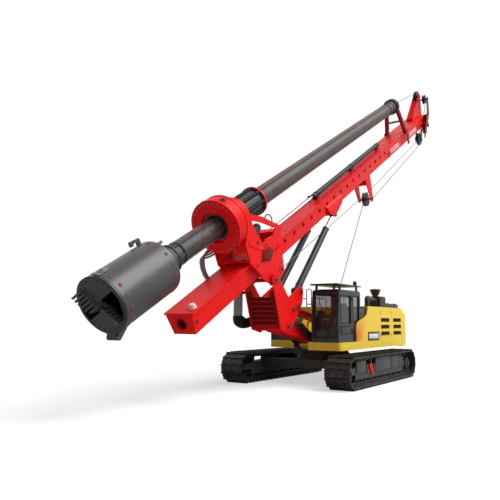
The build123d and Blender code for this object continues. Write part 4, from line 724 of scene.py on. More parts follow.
class RIG_OT_mast(bpy.types.Operator):
    """Rims, flanges, pipes and foot fittings of the mast"""
    bl_idname = "rig.mast"
    bl_label = "Mast fittings"

    def execute(self, context):
        self.walls()
        self.joint()
        self.lugs()
        self.pipes()
        self.foot()
        self.crowd()
        return {"FINISHED"}

    def walls(self):
        """Rims of the side holes and the bare pale panels of the side walls."""
        rims = on_mast()
        for side in (1, -1):
            for index in range(HOLE_COUNT):
                rims.ring(on_wall(HOLE_FIRST + index * HOLE_PITCH, HOLE_N, side, 0.001), out_of_web(side),
                          0.063, 0.088, 0.02, 24)
        rims.piece("mast_hole_rims", "mast", "red", "red_paint")

        panels = on_mast()
        for side in (1, -1):
            for start, end in ((15.62, 16.95), (18.50, 20.10)):
                panels.block(on_wall((start + end) / 2, WALL_MIDDLE, side, 0.002), (end - start, 0.34, 0.010),
                             0.004, wall_turn(side))
        panels.piece("mast_side_panels", "mast", "faded", "red_paint")

    def joint(self):
        """Flange and bolts where the upper box meets the lower one."""
        flange, heads = on_mast(), on_mast()
        front, pitch, radius, height = JOINT_S + 0.03, 0.08, 0.009, 0.012
        for side in (1, -1):
            flange.block(on_wall(JOINT_S, -0.33, side, 0.006), (0.06, 0.42, 0.024), 0.004, wall_turn(side))
            spots = [on_wall(front, -0.17 - pitch * k, side, 0.006) for k in range(5)]
            heads.bolts(spots, (1, 0, 0), radius, height)
        flange.block((JOINT_S, -0.557, 0), (0.06, 0.024, 0.62), 0.004)
        heads.bolts([(front, -0.56, 0.28 - pitch * k) for k in range(8)], (1, 0, 0), radius, height)
        flange.piece("mast_joint_flange", "mast", "red", "red_paint")
        heads.piece("mast_joint_bolts", "mast", "bolt", "dark_paint")

    def lugs(self):
        """Bosses, caps and bolts on the rear lugs and the stay ears."""
        bosses, caps = on_mast(), on_mast()
        for side in (1, -1):
            out = (0, 0, side)
            for pin in (MAST_PIN, WINCH_PIN):
                bosses.ring((*pin, side * 0.409), out, 0.062, 0.125, 0.014)
                caps.bolts(circle((*pin, side * 0.415), 0.095, 8, plane="sn"), out, 0.011, 0.012)
            bosses.ring((*STAY_EAR, side * 0.439), out, 0.045, 0.09, 0.014)
            caps.rod((*STAY_EAR, side * 0.432), (*STAY_EAR, side * 0.452), 0.046, 24)
            caps.bolts(circle((*STAY_EAR, side * 0.445), 0.07, 6, plane="sn"), out, 0.009, 0.01)
        bosses.piece("mast_lug_bosses", "mast", "red", "red_paint")
        caps.piece("mast_lug_bolts", "mast", "bolt", "dark_paint")

    def pipes(self):
        """Three pipes down the mast's back, in clamps."""
        pipes, clamps = on_mast(), on_mast()
        radius, pipe_n, back_n = 0.017, -0.585, -0.548
        low, high = 5.0, 21.5
        for y in (0.14, 0.19, -0.17):
            pipes.rod((low, pipe_n, y), (high, pipe_n, y), radius, 12)
            for end in (low, high):
                pipes.rod((end, pipe_n, y), (end, back_n, y), radius, 12).ball((end, pipe_n, y), radius)
        for index in range(12):
            station = 5.4 + index * 1.42
            clamps.block((station, -0.580, 0.165), (0.05, 0.062, 0.13), 0.005)
            clamps.block((station, -0.580, -0.17), (0.05, 0.062, 0.07), 0.005)
            clamps.bolts([(station, -0.611, y) for y in (0.165, -0.17)], (0, -1, 0), 0.008, 0.008)
        pipes.piece("mast_pipes", "mast", "dark", "dark_paint")
        clamps.piece("mast_pipe_clamps", "mast", "black", "black_parts")

    def foot(self):
        """Rims of the foot's holes, black discs in the side holes as painted shade, and the pale fitting on
        its front.
        """
        foot, black_discs, fitting = on_mast(), on_mast(), on_mast()
        foot.ring((-0.004, -0.286, 0), (1, 0, 0), 0.145, 0.185, 0.024, 40)
        for side in (1, -1):
            out = out_of_web(side)
            foot.ring(on_wall(*FOOT_EYE, side, 0.001), out, 0.05, 0.075, 0.02, 28)
            # The black disc stands for the dark inside of the side hole: painted shade.
            start = on_wall(*FOOT_EYE, side)
            black_discs.rod(start, start + out * 0.006, 0.051, 28)
        black_discs.bolts(circle((-0.016, -0.286, 0), 0.165, 12), (-1, 0, 0), 0.008, 0.008)
        fitting.lathe((0.27, 0, 0.25), (0, 1, 0), ((0.0, 0.0), (0.10, 0.0), (0.10, 0.02), (0.082, 0.026),
                                                   (0.082, 0.085), (0.06, 0.11), (0.0, 0.116)), 32)
        foot.piece("foot_rims", "mast", "red", "red_paint")
        black_discs.piece("foot_hole_shade_and_bolts", "mast", "black", "black_parts")
        fitting.piece("foot_fitting", "mast", "pale", "dark_paint")

    def crowd(self):
        """Gland, pipe and straps of the crowd cylinder."""
        gland, strap = on_mast(), on_mast()
        gland.lathe((8.05, CROWD_OUT, 0), (1, 0, 0), ((0.0515, -0.09), (0.066, -0.09), (0.072, -0.06),
                                                      (0.086, -0.055), (0.086, 0.0), (0.0515, 0.0)), 36)
        for side in (1, -1):
            gland.block((8.0, CROWD_OUT, side * 0.115), (0.09, 0.10, 0.13), 0.012)
            gland.bolts([(7.955, CROWD_OUT, side * 0.13)], (-1, 0, 0), 0.018, 0.02)
        low, high = 8.4, 14.8
        for station in (low, high):
            gland.block((station, CROWD_OUT, 0.098), (0.09, 0.05, 0.035), 0.006)
        bends = ((low, 0.11), (low, 0.132), (high, 0.132), (high, 0.11))
        gland.rail([(station, CROWD_OUT, y) for station, y in bends], 0.012)
        gland.piece("crowd_gland", "mast", "black", "black_parts")
        for station in (8.27, 11.72, 14.97):
            strap.ring((station, CROWD_OUT, 0), (1, 0, 0), 0.089, 0.101, 0.07, 36)
            strap.bolts([(station, CROWD_OUT, y) for y in (0.101, -0.101)], (0, 1, 0), 0.012, 0.03)
        strap.piece("crowd_straps", "mast", "black", "black_parts")


class RIG_OT_head(bpy.types.Operator):
    """Pin caps, arm braces and sheave hubs of the mast head and the rope bracket"""
    bl_idname = "rig.head"
    bl_label = "Head fittings"

    def execute(self, context):
        caps, heads, brace = on_mast(), on_mast(), on_mast()
        for side in (1, -1):
            out = (0, 0, side)
            for pin in (HEAD_FRONT, HEAD_REAR):
                caps.ring((*pin, side * 0.156), out, 0.043, 0.085, 0.014, 28)
                caps.rod((*pin, side * 0.148), (*pin, side * 0.166), 0.044, 24)
                heads.bolts(circle((*pin, side * 0.163), 0.065, 6, plane="sn"), out, 0.008, 0.008)
            caps.ring((*BRACKET, side * 0.295), out, 0.043, 0.08, 0.014, 28)
            caps.rod((*BRACKET, side * 0.288), (*BRACKET, side * 0.305), 0.044, 24)
            heads.bolts(circle((*BRACKET, side * 0.302), 0.062, 6, plane="sn"), out, 0.008, 0.008)
        caps.ring((*AUX_FRONT, 0.595), (0, 0, 1), 0.033, 0.07, 0.014, 28)
        caps.rod((*AUX_FRONT, 0.586), (*AUX_FRONT, 0.604), 0.034, 24)
        for s, n, height in ((21.88, -0.36, 0.62), (21.30, -0.62, 0.50)):
            brace.block((s, n, 0.455), (0.03, height, 0.21), 0.006)
        caps.piece("head_pin_caps", "mast", "black", "black_parts")
        # The braces are painted in the shade red: painted shade.
        brace.piece("aux_arm_braces", "mast", "shade_red", "red_paint")
        heads.piece("head_pin_bolts", "mast", "bolt", "dark_paint")

        for name, pin, y, radius in (("head", HEAD_FRONT, 0.0, HEAD_SHEAVE),
                                     ("rear", HEAD_REAR, 0.0, HEAD_SHEAVE),
                                     ("aux", AUX_FRONT, 0.4, AUX_SHEAVE),
                                     ("bracket", BRACKET, 0.0, BRACKET_SHEAVE)):
            hub = on_mast()
            for side in (1, -1):
                out = (0, 0, side)
                hub.lathe((*pin, y), out, ((0.047, 0.05), (0.10, 0.05), (0.10, 0.066), (0.075, 0.075),
                                           (0.047, 0.075)), 28)
                hub.ring((*pin, y + side * 0.056), out, radius * 0.80, radius - 0.008, 0.012, 48)
                hub.bolts(circle((*pin, y + side * 0.055), radius * 0.58, 8, plane="sn"), out, 0.016, 0.01)
            hub.piece(name + "_sheave_hub", name + "_wheel", "sheave", "sheave_steel")
        return {"FINISHED"}


class RIG_OT_kelly(bpy.types.Operator):
    """Rope swivel, lock collars and bolts of the kelly bar"""
    bl_idname = "rig.kelly"
    bl_label = "Kelly bar fittings"

    def execute(self, context):
        swivel = on_mast()
        for side in (1, -1):
            swivel.block(on_kelly(18.68, side * 0.106), (0.34, 0.13, 0.024), 0.01)
            swivel.bolts([on_kelly(18.57, side * 0.118)], (0, 0, side), 0.045, 0.03)
        swivel.rod(on_kelly(18.57, -0.12), on_kelly(18.57, 0.12), 0.0385, 20)
        swivel.block(on_kelly(18.82), (0.07, 0.13, 0.236), 0.012)
        swivel.lathe(on_kelly(18.85), UP, ((0.0, -0.004), (0.07, -0.004), (0.07, 0.12), (0.045, 0.17),
                                           (0.0, 0.17)), 32)
        for side in (1, -1):
            swivel.block(on_kelly(19.06, side * 0.032), (0.10, 0.06, 0.016), 0.006)
        swivel.rod(on_kelly(19.08, -0.05), on_kelly(19.08, 0.05), 0.018, 16)
        swivel.piece("rope_swivel", "kelly", "dark", "kelly_steel")

        collar, heads, cap, pads = on_mast(), on_mast(), on_mast(), on_mast()
        for station, inner, outer in ((0.05, 0.326, 0.348), (0.30, 0.326, 0.348), (0.62, 0.278, 0.294),
                                      (17.2, 0.278, 0.294)):
            collar.ring(on_kelly(station), UP, inner, outer, 0.05, 56)
        collar.piece("kelly_lock_rings", "kelly", "dark", "kelly_steel")
        heads.bolts(circle(on_kelly(0.348), 0.304, 18), UP)
        heads.bolts(circle(on_kelly(18.298), 0.2, 12), UP)
        heads.piece("kelly_bolts", "kelly", "bolt", "kelly_steel")
        for station in (17.95, 18.15):
            cap.ring(on_kelly(station), UP, 0.343, 0.360, 0.04, 56)
        cap.piece("guide_bands", "guide", "dark", "red_paint")
        for side in (1, -1):
            for station in (17.96, 18.14):
                spots = [(station, n, side * 0.535) for n in (-0.06, -0.3, -0.52)]
                pads.bolts(spots, (0, 0, side), 0.016, 0.014)
        pads.piece("guide_bolts", "guide", "bolt", "dark_paint")
        return {"FINISHED"}


class RIG_OT_drive(bpy.types.Operator):
    """Bolts, bands, springs, hoop, motors' fittings and hoses of the drive head and carriage"""
    bl_idname = "rig.drive"
    bl_label = "Drive head fittings"

    def execute(self, context):
        self.head()
        self.springs()
        self.carriage()
        self.motors()
        self.hoses()
        return {"FINISHED"}

    def head(self):
        """Bolts, bands and covers of the drive head's drum."""
        heads, bands, cover = on_mast(), on_mast(), on_mast()
        heads.bolts(circle(on_kelly(2.301), 0.665, 28), DOWN, 0.018, 0.018)
        heads.bolts(circle(on_kelly(2.301), 0.475, 20, 0.1), DOWN)
        heads.bolts(circle(on_kelly(3.269), 0.45, 20, 0.1), UP, 0.016, 0.016)
        heads.piece("drive_bolts", "carriage", "bolt", "dark_paint")
        for station in (2.325, 2.725):
            bands.ring(on_kelly(station), UP, 0.722, 0.738, 0.05, 72)
        bands.ring(on_kelly(2.298), UP, 0.425, 0.52, 0.024, 64)
        bands.ring(on_kelly(2.298), UP, 0.62, 0.71, 0.016, 72)
        bands.piece("drive_bands", "carriage", "red", "red_paint")
        for front in (-1, 1):
            for angle in (radians(-27), radians(27)):
                out = Vector((0, front * cos(angle), sin(angle)))
                at = Vector(on_kelly(2.52)) + out * 0.722
                cover.rod(at, at + out * 0.02, 0.085, 28)
                cover.rod(at + out * 0.02, at + out * 0.035, 0.035, 6)
        cover.piece("drive_covers", "carriage", "black", "black_parts")

    def springs(self):
        """Coils of the spring buffer, its ring's bands and bolts."""
        springs, ring, heads = on_mast(), on_mast(), on_mast()
        for spring in circle(on_kelly(3.40), 0.37, 8):
            for coil in range(13):
                middle = Vector(spring) + Vector((coil * 0.072, 0, 0))
                springs.ring(middle, (1, 0.10, 0.05), 0.036, 0.054, 0.020, 14)
        springs.piece("spring_coils", "sleeve", "black", "dark_paint")
        ring.ring(on_kelly(4.375), UP, 0.409, 0.428, 0.06, 64)
        ring.ring(on_kelly(3.305), UP, 0.409, 0.42, 0.03, 64)
        ring.piece("spring_ring_bands", "sleeve", "red", "red_paint")
        heads.bolts(circle(on_kelly(4.419), 0.375, 16), UP)
        heads.piece("spring_ring_bolts", "sleeve", "bolt", "dark_paint")

    def carriage(self):
        """Hoop, black discs in the holes as painted shade, rims and brackets of the carriage's side plates.
        """
        hoop, hole_shade, rims, brackets = on_mast(), on_mast(), on_mast(), on_mast()
        bends = ((3.86, 0.76), (3.93, 0.89), (4.03, 0.92), (4.18, 0.86), (4.25, 0.75), (4.20, 0.58))
        hoop.rail([(s, n, 0.52) for s, n in bends], 0.016)
        hoop.piece("carriage_hoop", "carriage", "black", "black_parts")
        bracket = ((3.12, -0.12), (3.34, 0.14), (3.68, 0.10), (3.86, -0.09), (3.56, -0.27))
        strap = ((2.72, 0.52), (2.80, 0.62), (3.36, 0.22), (3.30, 0.14))
        for side in (1, -1):
            face = side * 0.539
            for s, n, radius in ((3.20, 0.40, 0.055), (3.56, 0.20, 0.045), (2.90, -0.14, 0.045)):
                # Black discs stand for the dark inside of the holes: painted shade.
                hole_shade.rod((s, n, side * 0.538), (s, n, side * 0.546), radius, 24)
                rims.ring((s, n, side * 0.544), (0, 0, side), radius, radius + 0.022, 0.014, 28)
            brackets.plate([(s, n, face) for s, n in bracket], (0, 0, side * 0.02), 0.004)
            hole_shade.rod((3.43, -0.08, side * 0.55), (3.43, -0.08, side * 0.562), 0.062, 24)
            rims.plate([(s, n, face) for s, n in strap], (0, 0, side * 0.012), 0.003)
        hole_shade.piece("carriage_hole_shade", "carriage", "black", "black_parts")
        rims.piece("carriage_hole_rims", "carriage", "red", "red_paint")
        # The brackets are painted in the shade red: painted shade.
        brackets.piece("carriage_brackets", "carriage", "shade_red", "red_paint")

    def motors(self):
        """Flanges, end caps and ports of the two motors."""
        motors = on_mast()
        for side in (1, -1):
            n, y = KELLY_OUT - 0.56, -side * 0.33
            motors.ring((3.285, n, y), UP, 0.119, 0.155, 0.03, 32)
            motors.bolts(circle((3.3, n, y), 0.138, 8), UP, 0.011, 0.012)
            motors.lathe((3.69, n, y), UP, ((0.0, -0.004), (0.112, -0.004), (0.112, 0.012), (0.09, 0.03),
                                            (0.0, 0.03)), 32)
            motors.block((3.60, n - 0.11, y), (0.12, 0.06, 0.12), 0.008)
            for step in (-0.03, 0.03):
                motors.rod((3.60, n - 0.135, y + step), (3.60, n - 0.185, y + step), 0.02, 12)
        motors.piece("motor_fittings", "carriage", "dark", "dark_paint")

    def hoses(self):
        """Hoses of the motors, the grey loops beside the drive head and their end blocks."""
        hose = SIZES["hose"]
        for index, (y, sag) in enumerate(((0.36, 0.0), (0.30, 0.05), (-0.30, 0.0), (-0.36, 0.06))):
            line("motor_hose_%d" % index,
                 [(3.60, 0.51, y), (3.60, 0.40, y), (3.45, 0.30 - sag, y), (3.25, 0.26 - sag, y * 1.1),
                  (3.05, 0.20, y * 0.9), (3.0, 0.13, y * 0.9), (3.0, 0.12, y * 0.9)],
                 hose, "carriage", "hose", mast_place())
        for index in range(4):
            drop = index * 0.07
            line("drive_hose_%d" % index,
                 [(2.80, 0.60 - drop, -0.55), (2.62 - drop, 0.58 - drop, -0.62), (2.38 - drop, 0.52, -0.68),
                  (2.22 - drop * 0.6, 0.20, -0.70), (2.22 - drop * 0.5, -0.14, -0.66),
                  (2.42 - drop * 0.4, -0.34, -0.62), (2.72, -0.36 - drop * 0.3, -0.56)],
                 hose * 1.15, "carriage", "grey", mast_place())
        ends = on_mast()
        ends.block((2.80, 0.50, -0.555), (0.07, 0.34, 0.05), 0.012)
        ends.block((2.74, -0.38, -0.555), (0.07, 0.16, 0.05), 0.012)
        ends.piece("drive_hose_ends", "carriage", "black", "black_parts")


class RIG_OT_bucket(bpy.types.Operator):
    """Eye, bolts, rusty marks, tooth tips and plugs of the drilling bucket and its flap"""
    bl_idname = "rig.bucket"
    bl_label = "Bucket fittings"

    def execute(self, context):
        heads, eye, marks = on_mast(), on_mast(), on_mast()
        heads.bolts(circle(on_kelly(-0.111), 0.44, 16), UP, 0.02, 0.022)
        heads.piece("bucket_roof_bolts", "kelly", "bolt", "bucket_steel")
        lean = radians(10)
        out = Vector((0, cos(lean), sin(lean)))
        at = Vector(on_kelly(-1.78)) + out * 0.64
        eye.block(at + out * 0.012, (0.30, 0.05, 0.16), 0.012, Matrix.Rotation(lean, 4, "X"))
        eye.ring(at + out * 0.04, out, 0.036, 0.07, 0.03, 28)
        eye.piece("bucket_eye", "kelly", "bolt", "bucket_steel")
        for station in (-1.80, -0.30):
            for index in range(16):
                angle = radians(11 + index * 22.5)
                out = Vector((0, cos(angle), sin(angle)))
                marks.cap(Vector(on_kelly(station)) + out * 0.638, out, 0.045, 0.004, 0.03, 0.012, 0.014, 16)
        marks.piece("bucket_marks", "kelly", "rust", "bucket_steel")

        tips, edges, black_discs = on_mast(), on_mast(), on_mast()
        first_out, pitch, offset, start = 0.211, 0.09, 0.048 - 0.075, 0.02
        for turn in (1, -1):
            for index in range(5):
                run = start + index * pitch
                across = first_out + run * cos(TEETH_ANGLE) - offset * sin(TEETH_ANGLE)
                ahead = run * sin(TEETH_ANGLE) + offset * cos(TEETH_ANGLE)
                tips.block((-2.185, KELLY_OUT + turn * ahead, -turn * across), (0.06, 0.02, 0.052), 0.004,
                           Matrix.Rotation(TEETH_ANGLE, 4, "X"))
        tips.piece("tooth_tips", "flap", "dark", "bucket_steel")
        edges.ring(on_kelly(-1.97), UP, 0.628, 0.648, 0.035, 64)
        for turn in (0, pi):
            spots = [(-1.999, KELLY_OUT + 0.56 * cos(turn + k * 0.26), 0.56 * sin(turn + k * 0.26))
                     for k in range(-3, 4)]
            edges.bolts(spots, DOWN, 0.018, 0.014)
        edges.piece("flap_rim", "flap", "flap", "bucket_steel")
        for n, y in ((1.03, 0.10), (0.90, 0.29), (1.47, -0.10), (1.60, -0.29)):
            black_discs.rod((-1.998, n, y), (-2.006, n, y), 0.034, 20)
        black_discs.piece("flap_plugs", "flap", "black", "bucket_steel")
        return {"FINISHED"}


def cylinder_glands(name, body, low, high, length, radius, rod, y):
    """Head glands at a pair of barrels' mouths, an end band and a pipe along each barrel."""
    form = Form()
    along = (high - low).normalized()
    across = Vector((-along.z, 0, along.x))
    ends = (0.34, length * 0.6)
    for side in (1, -1):
        foot = low + Vector((0, side * y, 0))
        form.lathe(foot + along * length, along, ((rod + 0.001, -0.02), (radius + 0.006, -0.02),
                                                  (radius + 0.006, 0.0), (radius - 0.008, 0.01),
                                                  (radius - 0.02, 0.03), (rod + 0.001, 0.03)), 32)
        form.ring(foot + along * 0.28, along, radius - 0.002, radius + 0.012, 0.05, 32)
        for end in ends:
            form.rod(foot + along * end + across * (radius - 0.01),
                     foot + along * end + across * (radius + 0.045), 0.018, 12)
        pipe = foot + across * (radius + 0.035)
        form.rod(pipe + along * ends[0], pipe + along * ends[1], 0.012, 10)
    form.piece(name, body, "black", "black_parts")


class RIG_OT_front(bpy.types.Operator):
    """Pin bosses, glands and pipes of the boom, triangle frame and cylinders"""
    bl_idname = "rig.front"
    bl_label = "Boom and triangle fittings"

    def execute(self, context):
        self.pins()
        self.face()
        self.ears()
        self.boom()
        cylinder_glands("luff_glands", "luff_barrel", on_middle(DECK_PINS["luff"]),
                        on_middle(FRAME_PINS["luff"]), 1.35, 0.085, 0.055, 0.335)
        cylinder_glands("mast_cylinder_glands", "mast_barrel", on_middle(FRAME_PINS["stay"]),
                        mast_place() @ Vector((*STAY_EAR, 0)), 3.09, 0.105, 0.058, 0.34)
        return {"FINISHED"}

    def pins(self):
        """Bosses, caps and bolts at the triangle frame's pins."""
        bosses, caps = Form(), Form()
        for name, (x, z) in FRAME_PINS.items():
            reach = 0.105 if name in ("mast", "boom") else 0.09
            for side in (1, -1):
                out = (0, side, 0)
                bosses.ring((x, side * 0.507, z), out, 0.06, reach + 0.035, 0.018, 36)
                caps.cap((x, side * 0.50, z), out, 0.059, 0.026, 0.045, 0.036, 0.036, 28)
                caps.bolts(circle((x, side * 0.516, z), reach, 8, plane="xz"), out, 0.011, 0.012)
        bosses.piece("triangle_bosses", "triangle", "red", "red_paint")
        caps.piece("triangle_caps", "triangle", "black", "black_parts")

    def face(self):
        """Painted shade: dark red strips in the hollows between the ribs of the triangle frame's front, where
        shade falls; and its flanges, in the painted shade red.
        """
        low = Vector((3.74, 0, 1.73))
        rise = Vector((0.465, 0, 1.38)).normalized()
        face = Vector((rise.z, 0, -rise.x))
        lie = Matrix.Rotation(atan2(rise.x, rise.z), 4, "Y")
        rib_shade_strips, flanges = Form(), Form()
        rows = [(0.20 + 0.14 * gap, 0.088) for gap in range(5)] + [(0.90, 0.09)]
        for station, height in rows:
            # Each strip stands for the shade between two ribs: painted shade.
            rib_shade_strips.block(low + rise * station + face * 0.003, (0.010, 0.90, height), 0.002, lie)
        rib_shade_strips.piece("triangle_rib_shade", "triangle", "rib_shade_red", "red_paint")
        # The flanges are painted in the shade red: painted shade.
        for side in (1, -1):
            for station, out, y, size in ((1.02, -0.005, 0.38, (0.03, 0.165, 0.20)),
                                          (0.50, 0.016, 0.42, (0.026, 0.08, 0.90))):
                flanges.block(low + rise * station + face * out + Vector((0, side * y, 0)), size, 0.004, lie)
        flanges.piece("triangle_flanges", "triangle", "shade_red", "red_paint")

    def ears(self):
        """Bosses, caps and bolts on the deck's ears."""
        ears, caps = Form(), Form()
        for x, z in DECK_PINS.values():
            for side in (1, -1):
                out = (0, side, 0)
                ears.ring((x, side * 0.487, z), out, 0.061, 0.115, 0.018, 36)
                caps.rod((x, side * 0.478, z), (x, side * 0.504, z), 0.06, 28)
                caps.bolts(circle((x, side * 0.496, z), 0.09, 8, plane="xz"), out, 0.010, 0.012)
        ears.piece("ear_bosses", "upper", "red", "red_paint")
        caps.piece("ear_caps", "upper", "black", "black_parts")

    def boom(self):
        """Ribs round the boom and the pipes along its top."""
        start, end = on_middle(DECK_PINS["boom"]), on_middle(FRAME_PINS["boom"])
        run = (end - start).normalized()
        out = Vector((-run.z, 0, run.x))
        tilt = Matrix.Rotation(-atan2(run.z, run.x), 4, "Y")
        ribs, pipes = Form(), Form()
        for share in (0.22, 0.42, 0.62, 0.82):
            at = start.lerp(end, share)
            for side in (1, -1):
                ribs.block(at + Vector((0, side * 0.240, 0)), (0.03, 0.012, 0.27), 0.003, tilt)
            ribs.block(at + out * 0.153, (0.03, 0.46, 0.014), 0.004, tilt)
        ribs.piece("boom_ribs", "boom", "red", "red_paint")
        for y in (-0.10, -0.03, 0.04, 0.11):
            lift = out * 0.172 + Vector((0, y, 0))
            pipes.rod(start + run * 0.35 + lift, end - run * 0.35 + lift, 0.016, 12)
        for share in (0.25, 0.5, 0.75):
            at = start.lerp(end, share) + out * 0.168
            pipes.block(at + Vector((0, 0.005, 0)), (0.05, 0.28, 0.05), 0.006, tilt)
        pipes.piece("boom_pipes", "boom", "black", "black_parts")


# Cab, metres and radians

CAB_MIDDLE = 1.05
CAB_SIDE = 1.501
CAB_FRONT = 2.10
SEAL_WIDTH = 0.022
SEAL_DEPTH = 0.014
SCREEN_LEAN = -0.103


class RIG_OT_cab(bpy.types.Operator):
    """Seals, wipers, controls, the roof guard's trim and the beacon's cap"""
    bl_idname = "rig.cab"
    bl_label = "Cab fittings"

    def execute(self, context):
        self.seals()
        self.wipers()
        self.guard()
        self.controls()
        return {"FINISHED"}

    def seals(self):
        """Rubber seals round the panes, and the rubbing strips of the door."""
        seals, door = Form(), Form()
        across, upright = (SEAL_DEPTH, 0.77, SEAL_WIDTH), (SEAL_DEPTH, SEAL_WIDTH)
        for z in (1.475, 2.075, 2.145, 2.775):
            x = CAB_FRONT if z < 2.05 else CAB_FRONT - 0.1034 * (z - 2.05)
            seals.block((x + 0.002, CAB_MIDDLE, z), across, 0.003)
        for y in (0.675, 1.425):
            seals.block((2.102, y, 1.775), (*upright, 0.60), 0.003)
            seals.block((2.06, y, 2.46), (*upright, 0.63), 0.003, Matrix.Rotation(SCREEN_LEAN, 4, "Y"))
        for form, middle, height, ends, length, rims in (
                (seals, 0.75, 2.33, (0.508, 0.992), 0.50, (1.908, 2.752)),
                (door, 1.55, 2.3225, (1.172, 1.928), 0.76, (1.895, 2.75))):
            for x in ends:
                form.block((x, CAB_SIDE, height), (SEAL_WIDTH, SEAL_DEPTH, 0.86), 0.003)
            for z in rims:
                form.block((middle, CAB_SIDE, z), (length, SEAL_DEPTH, SEAL_WIDTH), 0.003)
        seals.piece("cab_window_seals", "upper", "rubber", "black_parts")
        for z in (1.58, 1.80):
            door.block((1.50, 1.503, z), (0.62, 0.012, 0.035), 0.004)
        door.block((1.91, 1.504, 1.58), (0.07, 0.014, 0.05), 0.004)
        door.piece("door_seals", "door", "rubber", "black_parts")

    def wipers(self):
        """A wiper on each front pane."""
        wiper = Form()
        wiper.rod((2.10, 1.05, 2.11), (2.13, 1.05, 2.11), 0.025, 16)
        wiper.rail([(2.125, 1.05, 2.11), (2.112, 0.98, 2.30), (2.085, 0.88, 2.52)], 0.008)
        wiper.block((2.066, 0.86, 2.56), (0.014, 0.014, 0.42), 0.003, Matrix.Rotation(-0.10, 4, "Y"))
        wiper.rod((2.10, 1.05, 1.44), (2.125, 1.05, 1.44), 0.022, 16)
        wiper.rail([(2.12, 1.05, 1.44), (2.118, 1.16, 1.56)], 0.008)
        wiper.block((2.112, 1.17, 1.63), (0.014, 0.014, 0.30), 0.003)
        wiper.piece("wipers", "upper", "black", "black_parts")

    def guard(self):
        """Bars and bolts of the roof guard, the rail under the side window and the beacon's cap."""
        trim, bolts, beacon = Form(), Form(), Form()
        trim.rail([(x, 1.512, 1.36) for x in (0.42, 1.04)], 0.012)
        trim.block((1.25, CAB_MIDDLE, 2.928), (1.25, 0.64, 0.016), 0.006)
        for x in (0.75, 1.0, 1.25, 1.5, 1.75):
            trim.block((x, CAB_MIDDLE, 3.094), (0.05, 0.86, 0.012), 0.003)
        trim.block((2.12, CAB_MIDDLE, 3.075), (0.03, 0.90, 0.05), 0.006)
        trim.piece("guard_trim", "upper", "black", "black_parts")
        bolts.bolts([(x, y, 3.09) for x in (0.42, 1.25, 2.08) for y in (0.64, 1.46)], (0, 0, 1), 0.014, 0.012)
        bolts.bolts([(0.56, 1.5, z) for z in (1.45, 1.62, 1.79)], (0, 1, 0), 0.01, 0.008)
        bolts.piece("guard_bolts", "upper", "bolt", "black_parts")
        beacon.lathe((0.53, 1.38, 3.20), (0, 0, 1), ((0.0, 0.0), (0.066, 0.0), (0.066, 0.008), (0.052, 0.014),
                                                     (0.050, 0.03), (0.03, 0.05), (0.0, 0.054)), 28)
        beacon.piece("beacon_cap", "upper", "black", "black_parts")

    def controls(self):
        """Screen, hand levers and pedals with their levers, and the seat's pedestal with its bellows."""
        controls, base = Form(), Form()
        controls.block((1.84, 0.80, 2.19), (0.05, 0.26, 0.20), 0.012, Matrix.Rotation(0.25, 4, "Y"))
        for y in (0.74, 1.36):
            controls.rod((1.36, y, 1.95), (1.37, y, 2.01), 0.035, 14, 0.02)
            controls.rod((1.37, y, 2.0), (1.39, y, 2.12), 0.012, 12)
            controls.ball((1.392, y, 2.135), 0.026, 14)
        for y in (0.98, 1.10):
            controls.block((1.80, y, 1.42), (0.24, 0.09, 0.02), 0.005, Matrix.Rotation(-0.35, 4, "Y"))
            controls.rod((1.72, y, 1.39), (1.66, y, 1.72), 0.010, 10)
            controls.ball((1.66, y, 1.72), 0.018)
        controls.piece("cab_controls", "upper", "trim", "cab_trim")
        base.block((1.02, CAB_MIDDLE, 1.40), (0.42, 0.42, 0.04), 0.008)
        for step in range(5):
            tuck = 0.02 * (step % 2)
            base.block((1.02, CAB_MIDDLE, 1.455 + step * 0.045), (0.38 - tuck, 0.36 - tuck, 0.042), 0.014)
        base.block((1.07, CAB_MIDDLE, 1.69), (0.48, 0.48, 0.04), 0.01)
        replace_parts(base.piece("seat_base", "upper", "trim", "cab_trim"), "operator_seat")


# Seat

CUSHION_GRAIN = 0.011
STITCH_WIDTH = 0.007
FILLING_FORCE = 4.0
CLOTH_STIFFNESS = 30.0
CLOTH_STEPS = 20


def stitched(spot, half):
    """Whether a point of a cushion is on a seam or under its rim."""
    x, y, z = spot
    along = abs(abs(y) - half.y * 0.45) < STITCH_WIDTH
    across = abs(abs(x) - half.x * 0.55) < STITCH_WIDTH and abs(y) < half.y * 0.45
    return along or across or z < -half.z * 0.6


def blow_up(made):
    """Blows a cushion's skin up a little, held at its seams."""
    filling = made.modifiers.new("Filling", "CLOTH")
    settings = filling.settings
    settings.use_pressure = True
    settings.uniform_pressure_force = FILLING_FORCE
    settings.vertex_group_mass = "seams"
    settings.effector_weights.gravity = 0.0
    settings.tension_stiffness = CLOTH_STIFFNESS
    settings.compression_stiffness = CLOTH_STIFFNESS
    filling.point_cache.frame_start = 1
    filling.point_cache.frame_end = CLOTH_STEPS
    scene = bpy.context.scene
    for step in range(1, CLOTH_STEPS + 1):
        scene.frame_set(step)
    bpy.ops.object.modifier_apply(modifier=filling.name)
    scene.frame_set(1)


